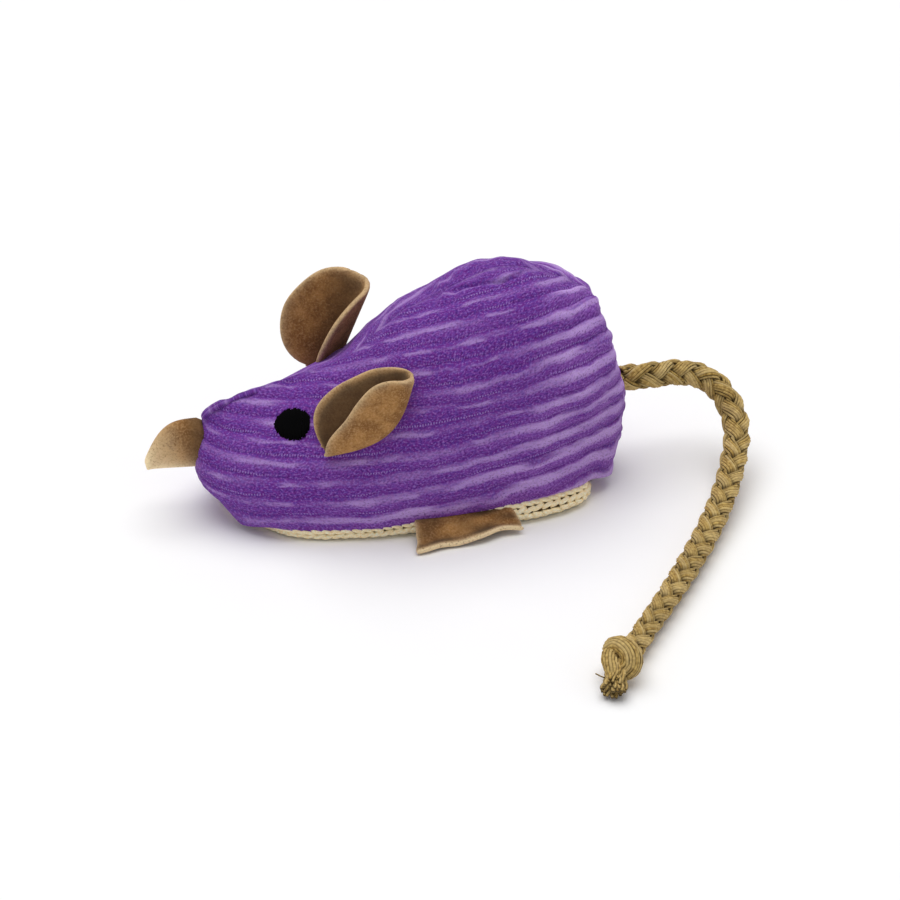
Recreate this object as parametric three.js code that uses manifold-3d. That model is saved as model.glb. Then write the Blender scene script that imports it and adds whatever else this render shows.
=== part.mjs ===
// A catnip mouse: two ribbed cloth sides and a knitted base sewn round fibre stuffing and dried catnip,
// with suede ears, nose and feet, stitched eyes and a braided cord tail that ends in a knot.
// Millimetres, +Z up. The head points to -X, the mouse's left side to -Y, and the floor is z = 0.
import * as THREE from 'three';
import { mergeVertices } from 'three/addons/utils/BufferGeometryUtils.js';
import Module from 'manifold-3d';

const wasm = await Module();
wasm.setup();

// Driving dimensions: the stuffed body
const BODY_LENGTH = 88;
const BODY_WIDTH = 40;
const SIDE_BULGE = 2.5;
const REAR_BULGE = 1.3;
// How far the front stands past half the length, at levels from the back seam (0) to the base seam (1)
const FRONT_SWELL = [
  [0, -0.3], [0.2, -0.1], [0.35, 0.6], [0.5, 1.3], [0.65, 1.5], [0.8, 0.8], [0.9, -0.4], [1, -2.2],
];
const PLAN_POWER = 0.82;
const HEAD_ARCH_POWER = 1.4;
const RUMP_ARCH_POWER = 0.85;
const HEAD_PEAK = 0.4;
const NECK_SPAN = [0.25, 0.6];
// Heights above the floor at shares of the way from the front seam (0) to the rear seam (1)
const BACK_LINE = [
  [0, 21.2], [0.2, 25.8], [0.36, 29.8], [0.43, 32.6], [0.5, 42.2], [0.57, 49], [0.63, 49.8],
  [0.7, 47.6], [0.77, 44.7], [0.82, 41.2], [0.87, 34.8], [0.93, 27.4], [1, 23],
];
const BASE_LINE = [
  [0, 2.8], [0.12, 2.3], [0.23, 2.4], [0.4, 3], [0.5, 4], [0.6, 5.2], [0.77, 4.8], [0.88, 2.9], [1, 2.4],
];

// Cloth, knit and thread
const COVER_THICKNESS = 1.6;
// Ribs of the cloth: how far apart they lie up the cloth, and how deep the grooves between them are
const RIB_PITCH = 4.23;
const RIB_DEPTH = 0.7;
const BASE_THICKNESS = 1.6;
const BASE_EDGE_ROUND = 4;
// How far the base swells past its seam, at shares of the way from the front to the rear
const BASE_SWELL = [[0, 0], [0.2, 0.1], [0.35, 0.9], [0.5, 1], [0.68, 2.4], [0.84, 0.7], [0.92, 0.1], [1, 0]];
const THREAD_DIAMETER = 0.4;

// Clearances
const FIT = 0.3;
const SEAM_GAP = 0.3;
const THREAD_FIT = 0.2;
const FLOOR_CLEARANCE = 0.2;

// Suede ears: a round of suede folded along its middle and pinched at its foot
const EAR_LENGTH = 24.5;
const EAR_WIDTH = 25;
const EAR_FOOT_WIDTH = 6;
const EAR_TOP_WIDTH = 3;
const EAR_THICKNESS = 1.3;
const EAR_FOOT_FOLD = 1.6;
const EAR_TOP_FOLD = 4.5;
const EAR_ROOT = 4;
// Angles in degrees: lean back, tilt out, turn to the middle, and each half's opening from the fold.
// The bow is how far the fold swells to the back halfway up. A point over 1 draws both ends out.
// Each half has its own width, and a lift above 0 has its widest place nearer the top.
const LEFT_EAR = {
  side: -1, along: 0.376, level: 0.546, lean: 45, tilt: 5, turn: 12, bow: 5, point: 1.28, swing: [0, 35],
  inner: { opening: 24, width: 14.2, lift: -0.19 },
  outer: { opening: 13, width: 11.6, lift: 0.3 },
};
const RIGHT_EAR = {
  side: 1, along: 0.419, level: 0.563, lean: 18, tilt: -1, turn: 46, bow: 0, point: 0.95, swing: [0, 30],
  inner: { opening: 0, width: 13.4, lift: -0.06 },
  outer: { opening: 64, width: 12.4, lift: -0.11 },
};

// Stitched eyes
const EYE_DIAMETER = 7.4;
const EYE_THICKNESS = 0.5;
const LEFT_EYE = { side: -1, along: 0.322, level: 0.34 };
const RIGHT_EYE = { side: 1, along: 0.322, level: 0.43 };

// Folded suede nose
const NOSE_LENGTH = 10.3;
const NOSE_TOP = 21.4;
const NOSE_LOW = 11.1;
const NOSE_TIP_HEIGHT = 12.3;
const NOSE_TIP_DEPTH = 0.9;
const NOSE_THICKNESS = 5;
const NOSE_TIP_THICKNESS = 1.8;
const NOSE_ROOT = 5;
const NOSE_SWING = [-25, 25];

// Suede feet, held in the base seam
const FOOT_WIDTH = 21;
const FOOT_FRONT_REACH = 7.5;
const FOOT_REAR_REACH = 4.5;
const FOOT_FLARE = 3;
const FOOT_THICKNESS = 1.4;
const FOOT_ALONG = 0.532;
const FOOT_ROOT = 2;
const FOOT_SWING = [0, 60];

// Braided tail: points beyond the rear seam, each with the share of the exit's height that is left
const CORD_DIAMETER = 6;
const TAIL_HEIGHT = 20.5;
const SEWN_LENGTH = 9;
const TAIL_ROUTE = [
  [3.4, 0, 1], [6, 0.6, 0.983], [9, 1.6, 0.954], [13, 2.8, 0.902], [17, 2.9, 0.827], [20.2, 1.7, 0.717],
  [22.2, -0.9, 0.578], [22.9, -4.8, 0.428], [22, -9.6, 0.295], [20, -14.7, 0.197], [17.5, -20.2, 0.127],
  [14.5, -26.1, 0.075], [11, -32.3, 0.029], [7.1, -38.8, 0], [2.9, -45.7, 0], [-1.5, -52.6, 0],
  [-6, -59.4, 0], [-10.5, -66, 0], [-15.6, -73.6, 0],
];
const KNOT_DIAMETER = 8.8;
const KNOT_WRAP_DIAMETER = 4.4;
const KNOT_WRAP_SLANT = 35;
const TUFT_LENGTH = 8;
const TUFT_DIAMETER = 7;

// Filling
const CATNIP_DIAMETER = 18;
const CATNIP_HEIGHT = 24;
const CATNIP_SETBACK = 14;

// Facets
const ALONG_STEPS = 22;
const RISE_STEPS = 10;
const RIB_STEPS = 2;
const CLIMB_STEPS = 80;
const ROUND_STEPS = 4;
const SHEET_STEPS = 8;
const EAR_STEPS = 10;
const NOSE_STEPS = 8;
const NOSE_SIDES = 14;
const FOOT_STEPS = 5;
const CORD_SIDES = 10;
const CORD_STEPS = 30;
const THREAD_SIDES = 5;
const THREAD_STEPS = 30;
const ROUND_SIDES = 18;
const SWING_STEPS = 4;

// How far a cutting body runs past the face that it opens, and joined bodies run into each other
const CUT_PAST = 4;
const JOIN = 1;
// Share of the way along a surface over which its slope is measured
const SLOPE_STEP = 0.004;
// Share of its distance from the middle that a point keeps, however far it is moved inward
const LEAST_SPREAD = 0.1;

const UP = new THREE.Vector3(0, 0, 1);
const { degToRad: radians, lerp, smoothstep, clamp } = THREE.MathUtils;
const signedPower = (value, power) => Math.sign(value) * Math.abs(value) ** power;
const shares = (steps) => Array.from({ length: steps + 1 }, (_, i) => i / steps);

// Smooth curve through [place, value] points, with each slope taken from the neighbours
function through(points, place) {
  const last = points.length - 1;
  const slope = (i) => {
    const before = points[Math.max(i - 1, 0)];
    const after = points[Math.min(i + 1, last)];
    return (after[1] - before[1]) / (after[0] - before[0]);
  };
  let i = 0;
  while (i < last - 1 && place > points[i + 1][0]) i += 1;
  const [x0, y0] = points[i];
  const [x1, y1] = points[i + 1];
  const span = x1 - x0;
  const t = (place - x0) / span;
  const rise = t * t * (3 - 2 * t);
  const leave = t * (1 - t) * (1 - t) * span;
  const arrive = t * t * (t - 1) * span;
  return y0 + (y1 - y0) * rise + slope(i) * leave + slope(i + 1) * arrive;
}

// How far an end of the body stands past half the length
function endSwell(along, level) {
  return along < 0.5 ? through(FRONT_SWELL, level) : REAR_BULGE * Math.sin(Math.PI * level);
}

// Plan outline: a squarish ellipse, drawn in from the base seam by inset
function outline(along, side, inset) {
  const turn = Math.PI * along;
  const x = -(BODY_LENGTH / 2 + endSwell(along, 1) - inset) * signedPower(Math.cos(turn), PLAN_POWER);
  const y = side * (BODY_WIDTH / 2 - inset) * Math.sin(turn) ** PLAN_POWER;
  return new THREE.Vector2(x, y);
}

// Cover surface: level 1 is the base seam, level 0 the seam along the back
function coverSurface(along, side, level) {
  const turn = Math.PI * clamp(along, 0, 1);
  const lift = (1 - Math.abs(level)) * Math.PI / 2;
  const bulge = Math.sin(2 * lift);
  const girth = Math.max(Math.sin(turn), 0) ** PLAN_POWER;
  const rump = smoothstep(along, ...NECK_SPAN);
  const arch = lerp(HEAD_ARCH_POWER, RUMP_ARCH_POWER, rump);
  const half = BODY_WIDTH / 2 * Math.max(Math.cos(lift), 0) ** arch + SIDE_BULGE * bulge;
  const reach = BODY_LENGTH / 2 + endSwell(along, Math.abs(level));
  const x = -reach * signedPower(Math.cos(turn), PLAN_POWER);
  const low = through(BASE_LINE, along);
  const rise = lerp(Math.sin(lift), 1 - Math.abs(level), HEAD_PEAK * (1 - rump));
  const z = low + (through(BACK_LINE, along) - low) * rise;
  return new THREE.Vector3(x, side * Math.sign(level) * girth * half, z);
}

function coverNormal(along, side, level) {
  const a = clamp(along, SLOPE_STEP, 1 - SLOPE_STEP);
  const v = clamp(level, 0, 1 - SLOPE_STEP);
  const forward = coverSurface(a + SLOPE_STEP, side, v).sub(coverSurface(a - SLOPE_STEP, side, v));
  const rise = coverSurface(a, side, v - SLOPE_STEP).sub(coverSurface(a, side, v + SLOPE_STEP));
  if (along === 0 || along === 1) forward.setX(0);
  const normal = forward.cross(rise).multiplyScalar(-side).normalize();
  if (along === 0 || along === 1 || level === 0) normal.setY(0).normalize();
  return normal;
}

// Point off the surface, which stays on its own side of the middle when it is moved inward
function coverPoint(along, side, level, offset) {
  const surface = coverSurface(along, side, level);
  const least = LEAST_SPREAD * Math.abs(surface.y);
  const point = surface.addScaledVector(coverNormal(along, side, level), offset);
  return point.setY(side * Math.max(side * point.y, least));
}

// Closed body from a stack of rings that run counterclockwise about the stacking direction
function ringSolid(rings, openTop = false) {
  const count = rings[0].length;
  const half = count / 2;
  const index = [];
  const face = (a, b, c) => index.push(a, b, c);
  for (let j = 0; j + 1 < rings.length; j += 1) {
    for (let i = 0; i < count; i += 1) {
      const a = j * count + i;
      const b = j * count + (i + 1) % count;
      face(a, b, b + count);
      face(a, b + count, a + count);
    }
  }
  const cap = (start, flip) => {
    for (let i = 0; i < half; i += 1) {
      const a = start + i;
      const b = start + i + 1;
      const c = start + count - i - 1;
      const d = start + (count - i) % count;
      const faces = [];
      if (b !== c) faces.push([a, b, c]);
      if (a !== d) faces.push([a, c, d]);
      faces.forEach(([p, q, r]) => (flip ? face(p, r, q) : face(p, q, r)));
    }
  };
  cap(0, true);
  if (!openTop) cap((rings.length - 1) * count, false);
  const geometry = new THREE.BufferGeometry().setFromPoints(rings.flat());
  geometry.setIndex(index);
  return geometry;
}

function toSolid(geometry) {
  const bare = geometry.clone();
  bare.deleteAttribute('normal');
  bare.deleteAttribute('uv');
  const merged = mergeVertices(bare, 1e-4);
  const corners = merged.index.array;
  const faces = [];
  for (let i = 0; i < corners.length; i += 3) {
    const [a, b, c] = corners.slice(i, i + 3);
    if (a !== b && b !== c && c !== a) faces.push(a, b, c);
  }
  const vertProperties = new Float32Array(merged.attributes.position.array);
  const mesh = new wasm.Mesh({ numProp: 3, vertProperties, triVerts: new Uint32Array(faces) });
  mesh.merge();
  return new wasm.Manifold(mesh);
}

function toGeometry(solid) {
  const mesh = solid.getMesh();
  const geometry = new THREE.BufferGeometry();
  geometry.setAttribute('position', new THREE.BufferAttribute(new Float32Array(mesh.vertProperties), 3));
  geometry.setIndex(new THREE.BufferAttribute(new Uint32Array(mesh.triVerts), 1));
  return geometry;
}

// Thread or cord along a curve
function tube(points, diameter, sides, steps) {
  const section = new THREE.Shape();
  for (let i = 0; i < sides; i += 1) {
    const turn = 2 * Math.PI * i / sides;
    const place = [diameter / 2 * Math.cos(turn), diameter / 2 * Math.sin(turn)];
    if (i === 0) section.moveTo(...place);
    else section.lineTo(...place);
  }
  const path = new THREE.CatmullRomCurve3(points);
  return new THREE.ExtrudeGeometry(section, { steps, extrudePath: path, bevelEnabled: false });
}

// Front, left side, rear, right side: the way round of every ring of the body
function aroundBody(place) {
  const ring = [];
  for (let i = 0; i < 2 * ALONG_STEPS; i += 1) {
    const left = i <= ALONG_STEPS;
    ring.push(place((left ? i : 2 * ALONG_STEPS - i) / ALONG_STEPS, left ? -1 : 1));
  }
  return ring;
}

function bodySolid(offset, skirt = 0) {
  const rings = shares(RISE_STEPS).map((rise) => (
    aroundBody((along, side) => coverPoint(along, side, 1 - rise, offset))
  ));
  if (skirt > 0) rings.unshift(rings[0].map((point) => point.clone().addScaledVector(UP, -skirt)));
  return toSolid(ringSolid(rings, true));
}

// Levels from the base seam up, a share of a rib apart along the cloth, and last the seam along the back
function ribLevels(along, side) {
  const step = RIB_PITCH / RIB_STEPS;
  const points = shares(CLIMB_STEPS).map((rise) => coverSurface(along, side, 1 - rise));
  const climbs = [0];
  points.slice(1).forEach((point, i) => climbs.push(climbs[i] + point.distanceTo(points[i])));
  const count = Math.round(climbs[CLIMB_STEPS] / step);
  const levels = [];
  for (let i = 0, at = 0; i < count; i += 1) {
    while (climbs[at + 1] < i * step) at += 1;
    const share = (i * step - climbs[at]) / (climbs[at + 1] - climbs[at]);
    levels.push(1 - (at + share) / CLIMB_STEPS);
  }
  return [...levels, 0];
}

// Depth below the crest of a rib, at a number of ribs up the cloth
function grooveDepth(ribs) {
  return RIB_DEPTH * Math.abs(2 * (ribs % 1) - 1);
}

// The body in its ribbed cloth, whose crests touch the plain body. A rib ends where it meets the back seam.
function ribbedBody() {
  const columns = aroundBody((along, side) => ribLevels(along, side).map((level, i) => (
    coverPoint(along, side, level, level > 0 ? -grooveDepth(i / RIB_STEPS) : 0)
  )));
  const most = Math.max(...columns.map((column) => column.length));
  const pointAt = (column, i) => column[Math.min(i, column.length - 1)];
  const rings = shares(most - 1).map((_, i) => columns.map((column) => pointAt(column, i)));
  return toSolid(ringSolid(rings, true));
}

function baseSolid(inset, floor, topRise) {
  const rings = shares(ROUND_STEPS).map((share) => {
    const curl = Math.PI / 2 * (1 - share);
    return aroundBody((along, side) => {
      const swell = through(BASE_SWELL, along) * Math.sin(2 * curl);
      const drawn = BASE_EDGE_ROUND * (1 - Math.cos(curl)) - swell;
      const plan = outline(along, side, inset + drawn);
      const top = through(BASE_LINE, along) + topRise;
      return new THREE.Vector3(plan.x, plan.y, lerp(top, floor, Math.sin(curl)));
    });
  });
  return toSolid(ringSolid(rings));
}

// Everything a piece outside the body has to stay clear of
const OUTSIDE = bodySolid(FIT).add(baseSolid(-FIT, -FIT, FIT));

// Trims a piece where it would meet the body, at rest and through its swing about a hinge
function clearOfBody(geometry, hinge, swing) {
  let solid = toSolid(geometry);
  for (const share of shares(SWING_STEPS)) {
    const turned = toGeometry(OUTSIDE);
    turned.translate(-hinge.point.x, -hinge.point.y, -hinge.point.z);
    turned.applyMatrix4(new THREE.Matrix4().makeRotationAxis(hinge.axis, -radians(lerp(...swing, share))));
    turned.translate(hinge.point.x, hinge.point.y, hinge.point.z);
    solid = solid.subtract(toSolid(turned));
  }
  return solid;
}

const mouse = new THREE.Group();

function piece(name, solid, colour, hinge) {
  const material = new THREE.MeshStandardMaterial({ color: colour, roughness: 0.95, metalness: 0 });
  const mesh = new THREE.Mesh(toGeometry(solid), material);
  mesh.name = name;
  if (hinge) mesh.userData.hinge = hinge;
  mouse.add(mesh);
}

const PURPLE = 0x754a96;
const PURPLE_THREAD = 0x5b3580;
const STRAW = 0xccbe95;
const SUEDE = 0x8c6645;
const CORD_TAN = 0x92794c;
const BLACK = 0x0e0e0e;
const FIBRE = 0xe8e6e0;
const CATNIP_GREEN = 0x6d7346;

// Point of the rear seam, in the middle plane, at a height above the floor
function rearSeam(height) {
  const seam = shares(RISE_STEPS).map((rise) => coverSurface(1, -1, 1 - rise));
  const back = shares(ALONG_STEPS).slice(1).map((share) => coverSurface(1 - share / 2, -1, 0));
  const line = [...seam, ...back];
  let i = 0;
  while (i < line.length - 2 && height > line[i + 1].z) i += 1;
  const share = (height - line[i].z) / (line[i + 1].z - line[i].z);
  return line[i].clone().lerp(line[i + 1], share);
}

const tailExit = rearSeam(TAIL_HEIGHT);

function cordRod(diameter, from, to) {
  const rod = new THREE.CylinderGeometry(diameter / 2, diameter / 2, to - from, ROUND_SIDES);
  rod.rotateZ(Math.PI / 2);
  rod.translate(tailExit.x + (from + to) / 2, 0, TAIL_HEIGHT);
  return toSolid(rod);
}

// Threads: one in the seam along the back, one in the seam round the base, whose ends part at the front
const BACK_THREAD_SPAN = [0.04, 0.8];
const THREAD_END_GAP = 4.8;

function backThread(diameter) {
  const points = shares(THREAD_STEPS).map((share) => (
    coverPoint(lerp(...BACK_THREAD_SPAN, share), -1, 0, -COVER_THICKNESS / 2)
  ));
  return toSolid(tube(points, diameter, THREAD_SIDES, THREAD_STEPS));
}

function baseThread(diameter) {
  const start = (THREAD_END_GAP / BODY_WIDTH) ** (1 / PLAN_POWER) / Math.PI;
  const points = shares(THREAD_STEPS).map((share) => {
    const round = lerp(start, 2 - start, share);
    const along = round <= 1 ? round : 2 - round;
    const plan = outline(along, round <= 1 ? -1 : 1, COVER_THICKNESS / 2);
    return new THREE.Vector3(plan.x, plan.y, through(BASE_LINE, along) - SEAM_GAP / 2);
  });
  return toSolid(tube(points, diameter, THREAD_SIDES, 2 * THREAD_STEPS));
}

const threadGroove = THREAD_DIAMETER + 2 * THREAD_FIT;
const backGroove = backThread(threadGroove);
const baseGroove = baseThread(threadGroove);

// Covers: one shell of cloth, parted along the middle, with a hole for the tail's sewn end
function covers() {
  let shell = ribbedBody().subtract(bodySolid(-COVER_THICKNESS, CUT_PAST));
  shell = shell.subtract(cordRod(CORD_DIAMETER + 2 * FIT, -SEWN_LENGTH, SEWN_LENGTH));
  shell = shell.subtract(backGroove).subtract(baseGroove);
  const reach = 2 * BODY_LENGTH;
  ['left', 'right'].forEach((name, i) => {
    const half = new THREE.BoxGeometry(reach, reach, reach);
    half.translate(0, (2 * i - 1) * (reach + SEAM_GAP) / 2, 0);
    piece(`cover_${name}`, shell.intersect(toSolid(half)), PURPLE);
  });
}

// Base: a shallow knitted pan that lies flat on the floor
function basePanel() {
  const pan = baseSolid(0, 0, -SEAM_GAP).subtract(baseSolid(BASE_THICKNESS, BASE_THICKNESS, CUT_PAST));
  piece('base_panel', pan.subtract(baseGroove), STRAW);
}

function threads() {
  piece('back_seam_thread', backThread(THREAD_DIAMETER), PURPLE_THREAD);
  piece('base_seam_thread', baseThread(THREAD_DIAMETER), PURPLE_THREAD);
}

// Ear: across each height the sheet runs round a fold and out along two flat halves
function ear(name, { side, along, level, lean, tilt, turn, bow, point, swing, inner, outer }) {
  const foot = coverPoint(along, side, level, FIT);
  const up = new THREE.Vector3(0, side * Math.sin(radians(tilt)), 0);
  up.setX(Math.sin(radians(lean)));
  up.setZ(Math.cos(radians(lean))).normalize();
  const middleward = new THREE.Vector3(0, -side, 0).addScaledVector(up, side * up.y).normalize();
  const ahead = middleward.clone().cross(up).multiplyScalar(side);
  const front = ahead.multiplyScalar(Math.cos(radians(turn)));
  front.addScaledVector(middleward, Math.sin(radians(turn)));
  const across = front.clone().cross(up);

  // The round is cut off where it narrows to the width of the foot and of the top
  const footTurn = Math.asin(EAR_FOOT_WIDTH / EAR_WIDTH);
  const topTurn = Math.PI - Math.asin(EAR_TOP_WIDTH / EAR_WIDTH);
  const ring = (share, drop = 0) => {
    const round = lerp(footTurn, topTurn, share);
    const rise = (Math.cos(footTurn) - Math.cos(round)) / (Math.cos(footTurn) - Math.cos(topTurn));
    const narrowing = Math.sin(round) ** point;
    const radius = lerp(EAR_FOOT_FOLD, EAR_TOP_FOLD, rise);
    const spread = smoothstep(EAR_LENGTH * rise - drop, -EAR_ROOT, EAR_LENGTH / 2);
    const at = (s, offset) => {
      const { opening, width, lift } = s * side < 0 ? inner : outer;
      const half = width * narrowing * (1 + lift * (2 * rise - 1));
      const most = Math.PI / 2 - radians(opening) * spread;
      const bend = Math.min(Math.abs(s) * half / radius, most);
      const flat = Math.abs(s) * half - bend * radius;
      const wide = (radius - offset) * Math.sin(bend) + flat * Math.cos(bend);
      const deep = radius - (radius - offset) * Math.cos(bend) + flat * Math.sin(bend);
      return foot.clone()
        .addScaledVector(up, EAR_LENGTH * rise - drop)
        .addScaledVector(across, Math.sign(s) * wide)
        .addScaledVector(front, deep - bow * Math.sin(Math.PI * rise));
    };
    const places = shares(SHEET_STEPS).map((place) => 2 * place - 1);
    const back = places.map((s) => at(s, -EAR_THICKNESS / 2));
    const face = places.map((s) => at(s, EAR_THICKNESS / 2));
    return [...back, ...face.reverse()];
  };
  const rings = [ring(0, EAR_ROOT), ...shares(EAR_STEPS).map((share) => ring(share))];
  const peel = up.clone().cross(coverNormal(along, side, level)).normalize();
  const hinge = { point: foot, axis: peel };
  piece(name, clearOfBody(ringSolid(rings), hinge, swing), SUEDE, hinge);
}

// Eye: a patch of satin stitch that follows the cover
function eye(name, { side, along, level }) {
  const centre = coverPoint(along, side, level, FIT);
  const normal = coverNormal(along, side, level);
  const punch = new THREE.CylinderGeometry(EYE_DIAMETER / 2, EYE_DIAMETER / 2, EYE_DIAMETER, ROUND_SIDES);
  punch.applyQuaternion(new THREE.Quaternion().setFromUnitVectors(new THREE.Vector3(0, 1, 0), normal));
  punch.translate(centre.x, centre.y, centre.z);
  const layer = bodySolid(FIT + EYE_THICKNESS).subtract(bodySolid(FIT));
  piece(name, layer.intersect(toSolid(punch)), BLACK);
}

// Nose: a folded leaf of suede that stands out of the front seam
function nose() {
  const root = coverSurface(0, -1, 0.5);
  const ring = (reach) => {
    const t = Math.max(reach / NOSE_LENGTH, 0);
    const top = NOSE_TIP_HEIGHT + (NOSE_TOP - NOSE_TIP_HEIGHT) * Math.sqrt(1 - t * t);
    const low = lerp(NOSE_LOW, NOSE_TIP_HEIGHT - NOSE_TIP_DEPTH, t);
    const half = lerp(NOSE_THICKNESS, NOSE_TIP_THICKNESS, t) / 2;
    return shares(NOSE_SIDES).slice(1).map((share) => {
      const turn = 2 * Math.PI * share;
      const z = (top + low) / 2 + (top - low) / 2 * Math.cos(turn);
      return new THREE.Vector3(root.x - reach, half * Math.sin(turn), z);
    });
  };
  const reaches = shares(NOSE_STEPS).map((share) => NOSE_LENGTH * Math.sin(Math.PI / 2 * share));
  const hinge = { point: new THREE.Vector3(root.x - FIT, 0, (NOSE_TOP + NOSE_LOW) / 2), axis: UP.clone() };
  const leaf = ringSolid([-NOSE_ROOT, ...reaches].map(ring));
  piece('nose', clearOfBody(leaf, hinge, NOSE_SWING), SUEDE, hinge);
}

// Foot: a flap of suede from the base seam down to the floor, longer at its front corner
function foot(name, side) {
  const middle = outline(FOOT_ALONG, side, 0);
  const seam = through(BASE_LINE, FOOT_ALONG) - SEAM_GAP / 2;
  const ahead = outline(FOOT_ALONG + SLOPE_STEP, side, 0);
  ahead.sub(outline(FOOT_ALONG - SLOPE_STEP, side, 0)).normalize();
  const out = new THREE.Vector2(-side * ahead.y, side * ahead.x);
  const rest = FLOOR_CLEARANCE + FOOT_THICKNESS / 2;
  const ring = (share, root = 0) => {
    const edge = (offset) => shares(SHEET_STEPS).map((s) => {
      const reach = lerp(FOOT_FRONT_REACH, FOOT_REAR_REACH, s) * share - root;
      const width = (s - 0.5) * FOOT_WIDTH + FOOT_FLARE * s * share;
      const plan = middle.clone().addScaledVector(ahead, width).addScaledVector(out, reach);
      return new THREE.Vector3(plan.x, plan.y, lerp(seam, rest, smoothstep(share, 0, 1)) + offset);
    });
    const points = [...edge(FOOT_THICKNESS / 2), ...edge(-FOOT_THICKNESS / 2).reverse()];
    return side > 0 ? points : points.reverse();
  };
  const rings = [ring(0, FOOT_ROOT), ...shares(FOOT_STEPS).map((share) => ring(share))];
  const hinge = {
    point: new THREE.Vector3(middle.x + FIT * out.x, middle.y + FIT * out.y, seam),
    axis: new THREE.Vector3(side * ahead.x, side * ahead.y, 0),
  };
  piece(name, clearOfBody(ringSolid(rings), hinge, FOOT_SWING), SUEDE, hinge);
}

// Tail: the sewn end in the seam, the free cord with a round start, and the knot with its frayed tuft
function tail() {
  piece('tail_sewn_end', cordRod(CORD_DIAMETER, -SEWN_LENGTH, 0), CORD_TAN);
  const lying = CORD_DIAMETER / 2 + FLOOR_CLEARANCE;
  const route = TAIL_ROUTE.map(([x, y, share]) => (
    new THREE.Vector3(tailExit.x + x, y, lerp(lying, TAIL_HEIGHT, share))
  ));
  const pivot = route[0];
  const start = new THREE.SphereGeometry(CORD_DIAMETER / 2, CORD_SIDES, CORD_SIDES);
  start.rotateX(Math.PI / 2);
  start.translate(pivot.x, pivot.y, pivot.z);
  const cord = toSolid(tube(route, CORD_DIAMETER, CORD_SIDES, CORD_STEPS)).add(toSolid(start));
  piece('tail_cord', cord, CORD_TAN, { point: pivot, axis: UP.clone() });

  const end = route[route.length - 1];
  const away = end.clone().sub(route[route.length - 2]).setZ(0).normalize();
  const centre = end.clone().addScaledVector(away, KNOT_DIAMETER / 2 + FIT);
  centre.z = KNOT_DIAMETER / 2 + FLOOR_CLEARANCE;
  const lay = new THREE.Quaternion().setFromUnitVectors(new THREE.Vector3(0, 1, 0), away);
  const place = (geometry) => toSolid(geometry.applyQuaternion(lay).translate(centre.x, centre.y, centre.z));
  const core = new THREE.SphereGeometry(KNOT_DIAMETER / 2, ROUND_SIDES, CORD_SIDES);
  const wrapRadius = (KNOT_DIAMETER - KNOT_WRAP_DIAMETER) / 2;
  const wrap = new THREE.TorusGeometry(wrapRadius, KNOT_WRAP_DIAMETER / 2, CORD_SIDES, ROUND_SIDES);
  wrap.rotateX(Math.PI / 2).rotateZ(radians(KNOT_WRAP_SLANT));
  const tuft = new THREE.CylinderGeometry(TUFT_DIAMETER / 2, CORD_DIAMETER / 2, TUFT_LENGTH, ROUND_SIDES);
  tuft.translate(0, KNOT_DIAMETER / 2 + TUFT_LENGTH / 2 - JOIN, -(KNOT_DIAMETER - TUFT_DIAMETER) / 2);
  piece('tail_knot', place(core).add(place(wrap)).add(place(tuft)), CORD_TAN);
}

// Catnip: a round-topped heap on the base, grown all over to make its hollow in the stuffing
function catnip(growth) {
  const radius = CATNIP_DIAMETER / 2 + growth;
  const floor = BASE_THICKNESS + FIT;
  const top = floor + CATNIP_HEIGHT + growth;
  const foot = growth > 0 ? floor - CUT_PAST : floor;
  const profile = [new THREE.Vector2(0, foot), new THREE.Vector2(radius, foot)];
  shares(ROUND_STEPS).forEach((share) => {
    const turn = Math.PI / 2 * share;
    profile.push(new THREE.Vector2(radius * Math.cos(turn), top - radius + radius * Math.sin(turn)));
  });
  const heap = new THREE.LatheGeometry(profile, ROUND_SIDES);
  heap.rotateX(Math.PI / 2);
  heap.translate(CATNIP_SETBACK, 0, 0);
  return toSolid(heap);
}

// Stuffing: fills the covers and reaches down into the pan, clear of its wall and floor
function filling() {
  const hollow = baseSolid(BASE_THICKNESS + FIT, BASE_THICKNESS + FIT, CUT_PAST);
  const wall = baseSolid(-FIT, -2 * CUT_PAST, FIT - SEAM_GAP).subtract(hollow);
  let stuffing = bodySolid(-COVER_THICKNESS - FIT, CUT_PAST).subtract(wall).subtract(catnip(FIT));
  stuffing = stuffing.subtract(cordRod(CORD_DIAMETER + 2 * FIT, -SEWN_LENGTH - FIT, SEWN_LENGTH));
  piece('stuffing', stuffing, FIBRE);
  piece('catnip_fill', catnip(0), CATNIP_GREEN);
}

covers();
basePanel();
threads();
filling();
ear('ear_left', LEFT_EAR);
ear('ear_right', RIGHT_EAR);
eye('eye_left', LEFT_EYE);
eye('eye_right', RIGHT_EYE);
nose();
foot('foot_left', -1);
foot('foot_right', 1);
tail();

export default mouse;
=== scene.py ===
# %% [markdown]
# # Dressing a catnip mouse
#
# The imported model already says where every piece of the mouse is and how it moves. This lesson dresses
# that frame: ribbed cloth over the stuffed body, a knitted base, suede ears, nose and feet, stitched eyes
# and a braided tail. Shapes are worked out with numpy in millimetres and put into the meshes in metres, so
# a value below can be checked against a ruler.

import bpy
import numpy as np
from mathutils import Matrix


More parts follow.
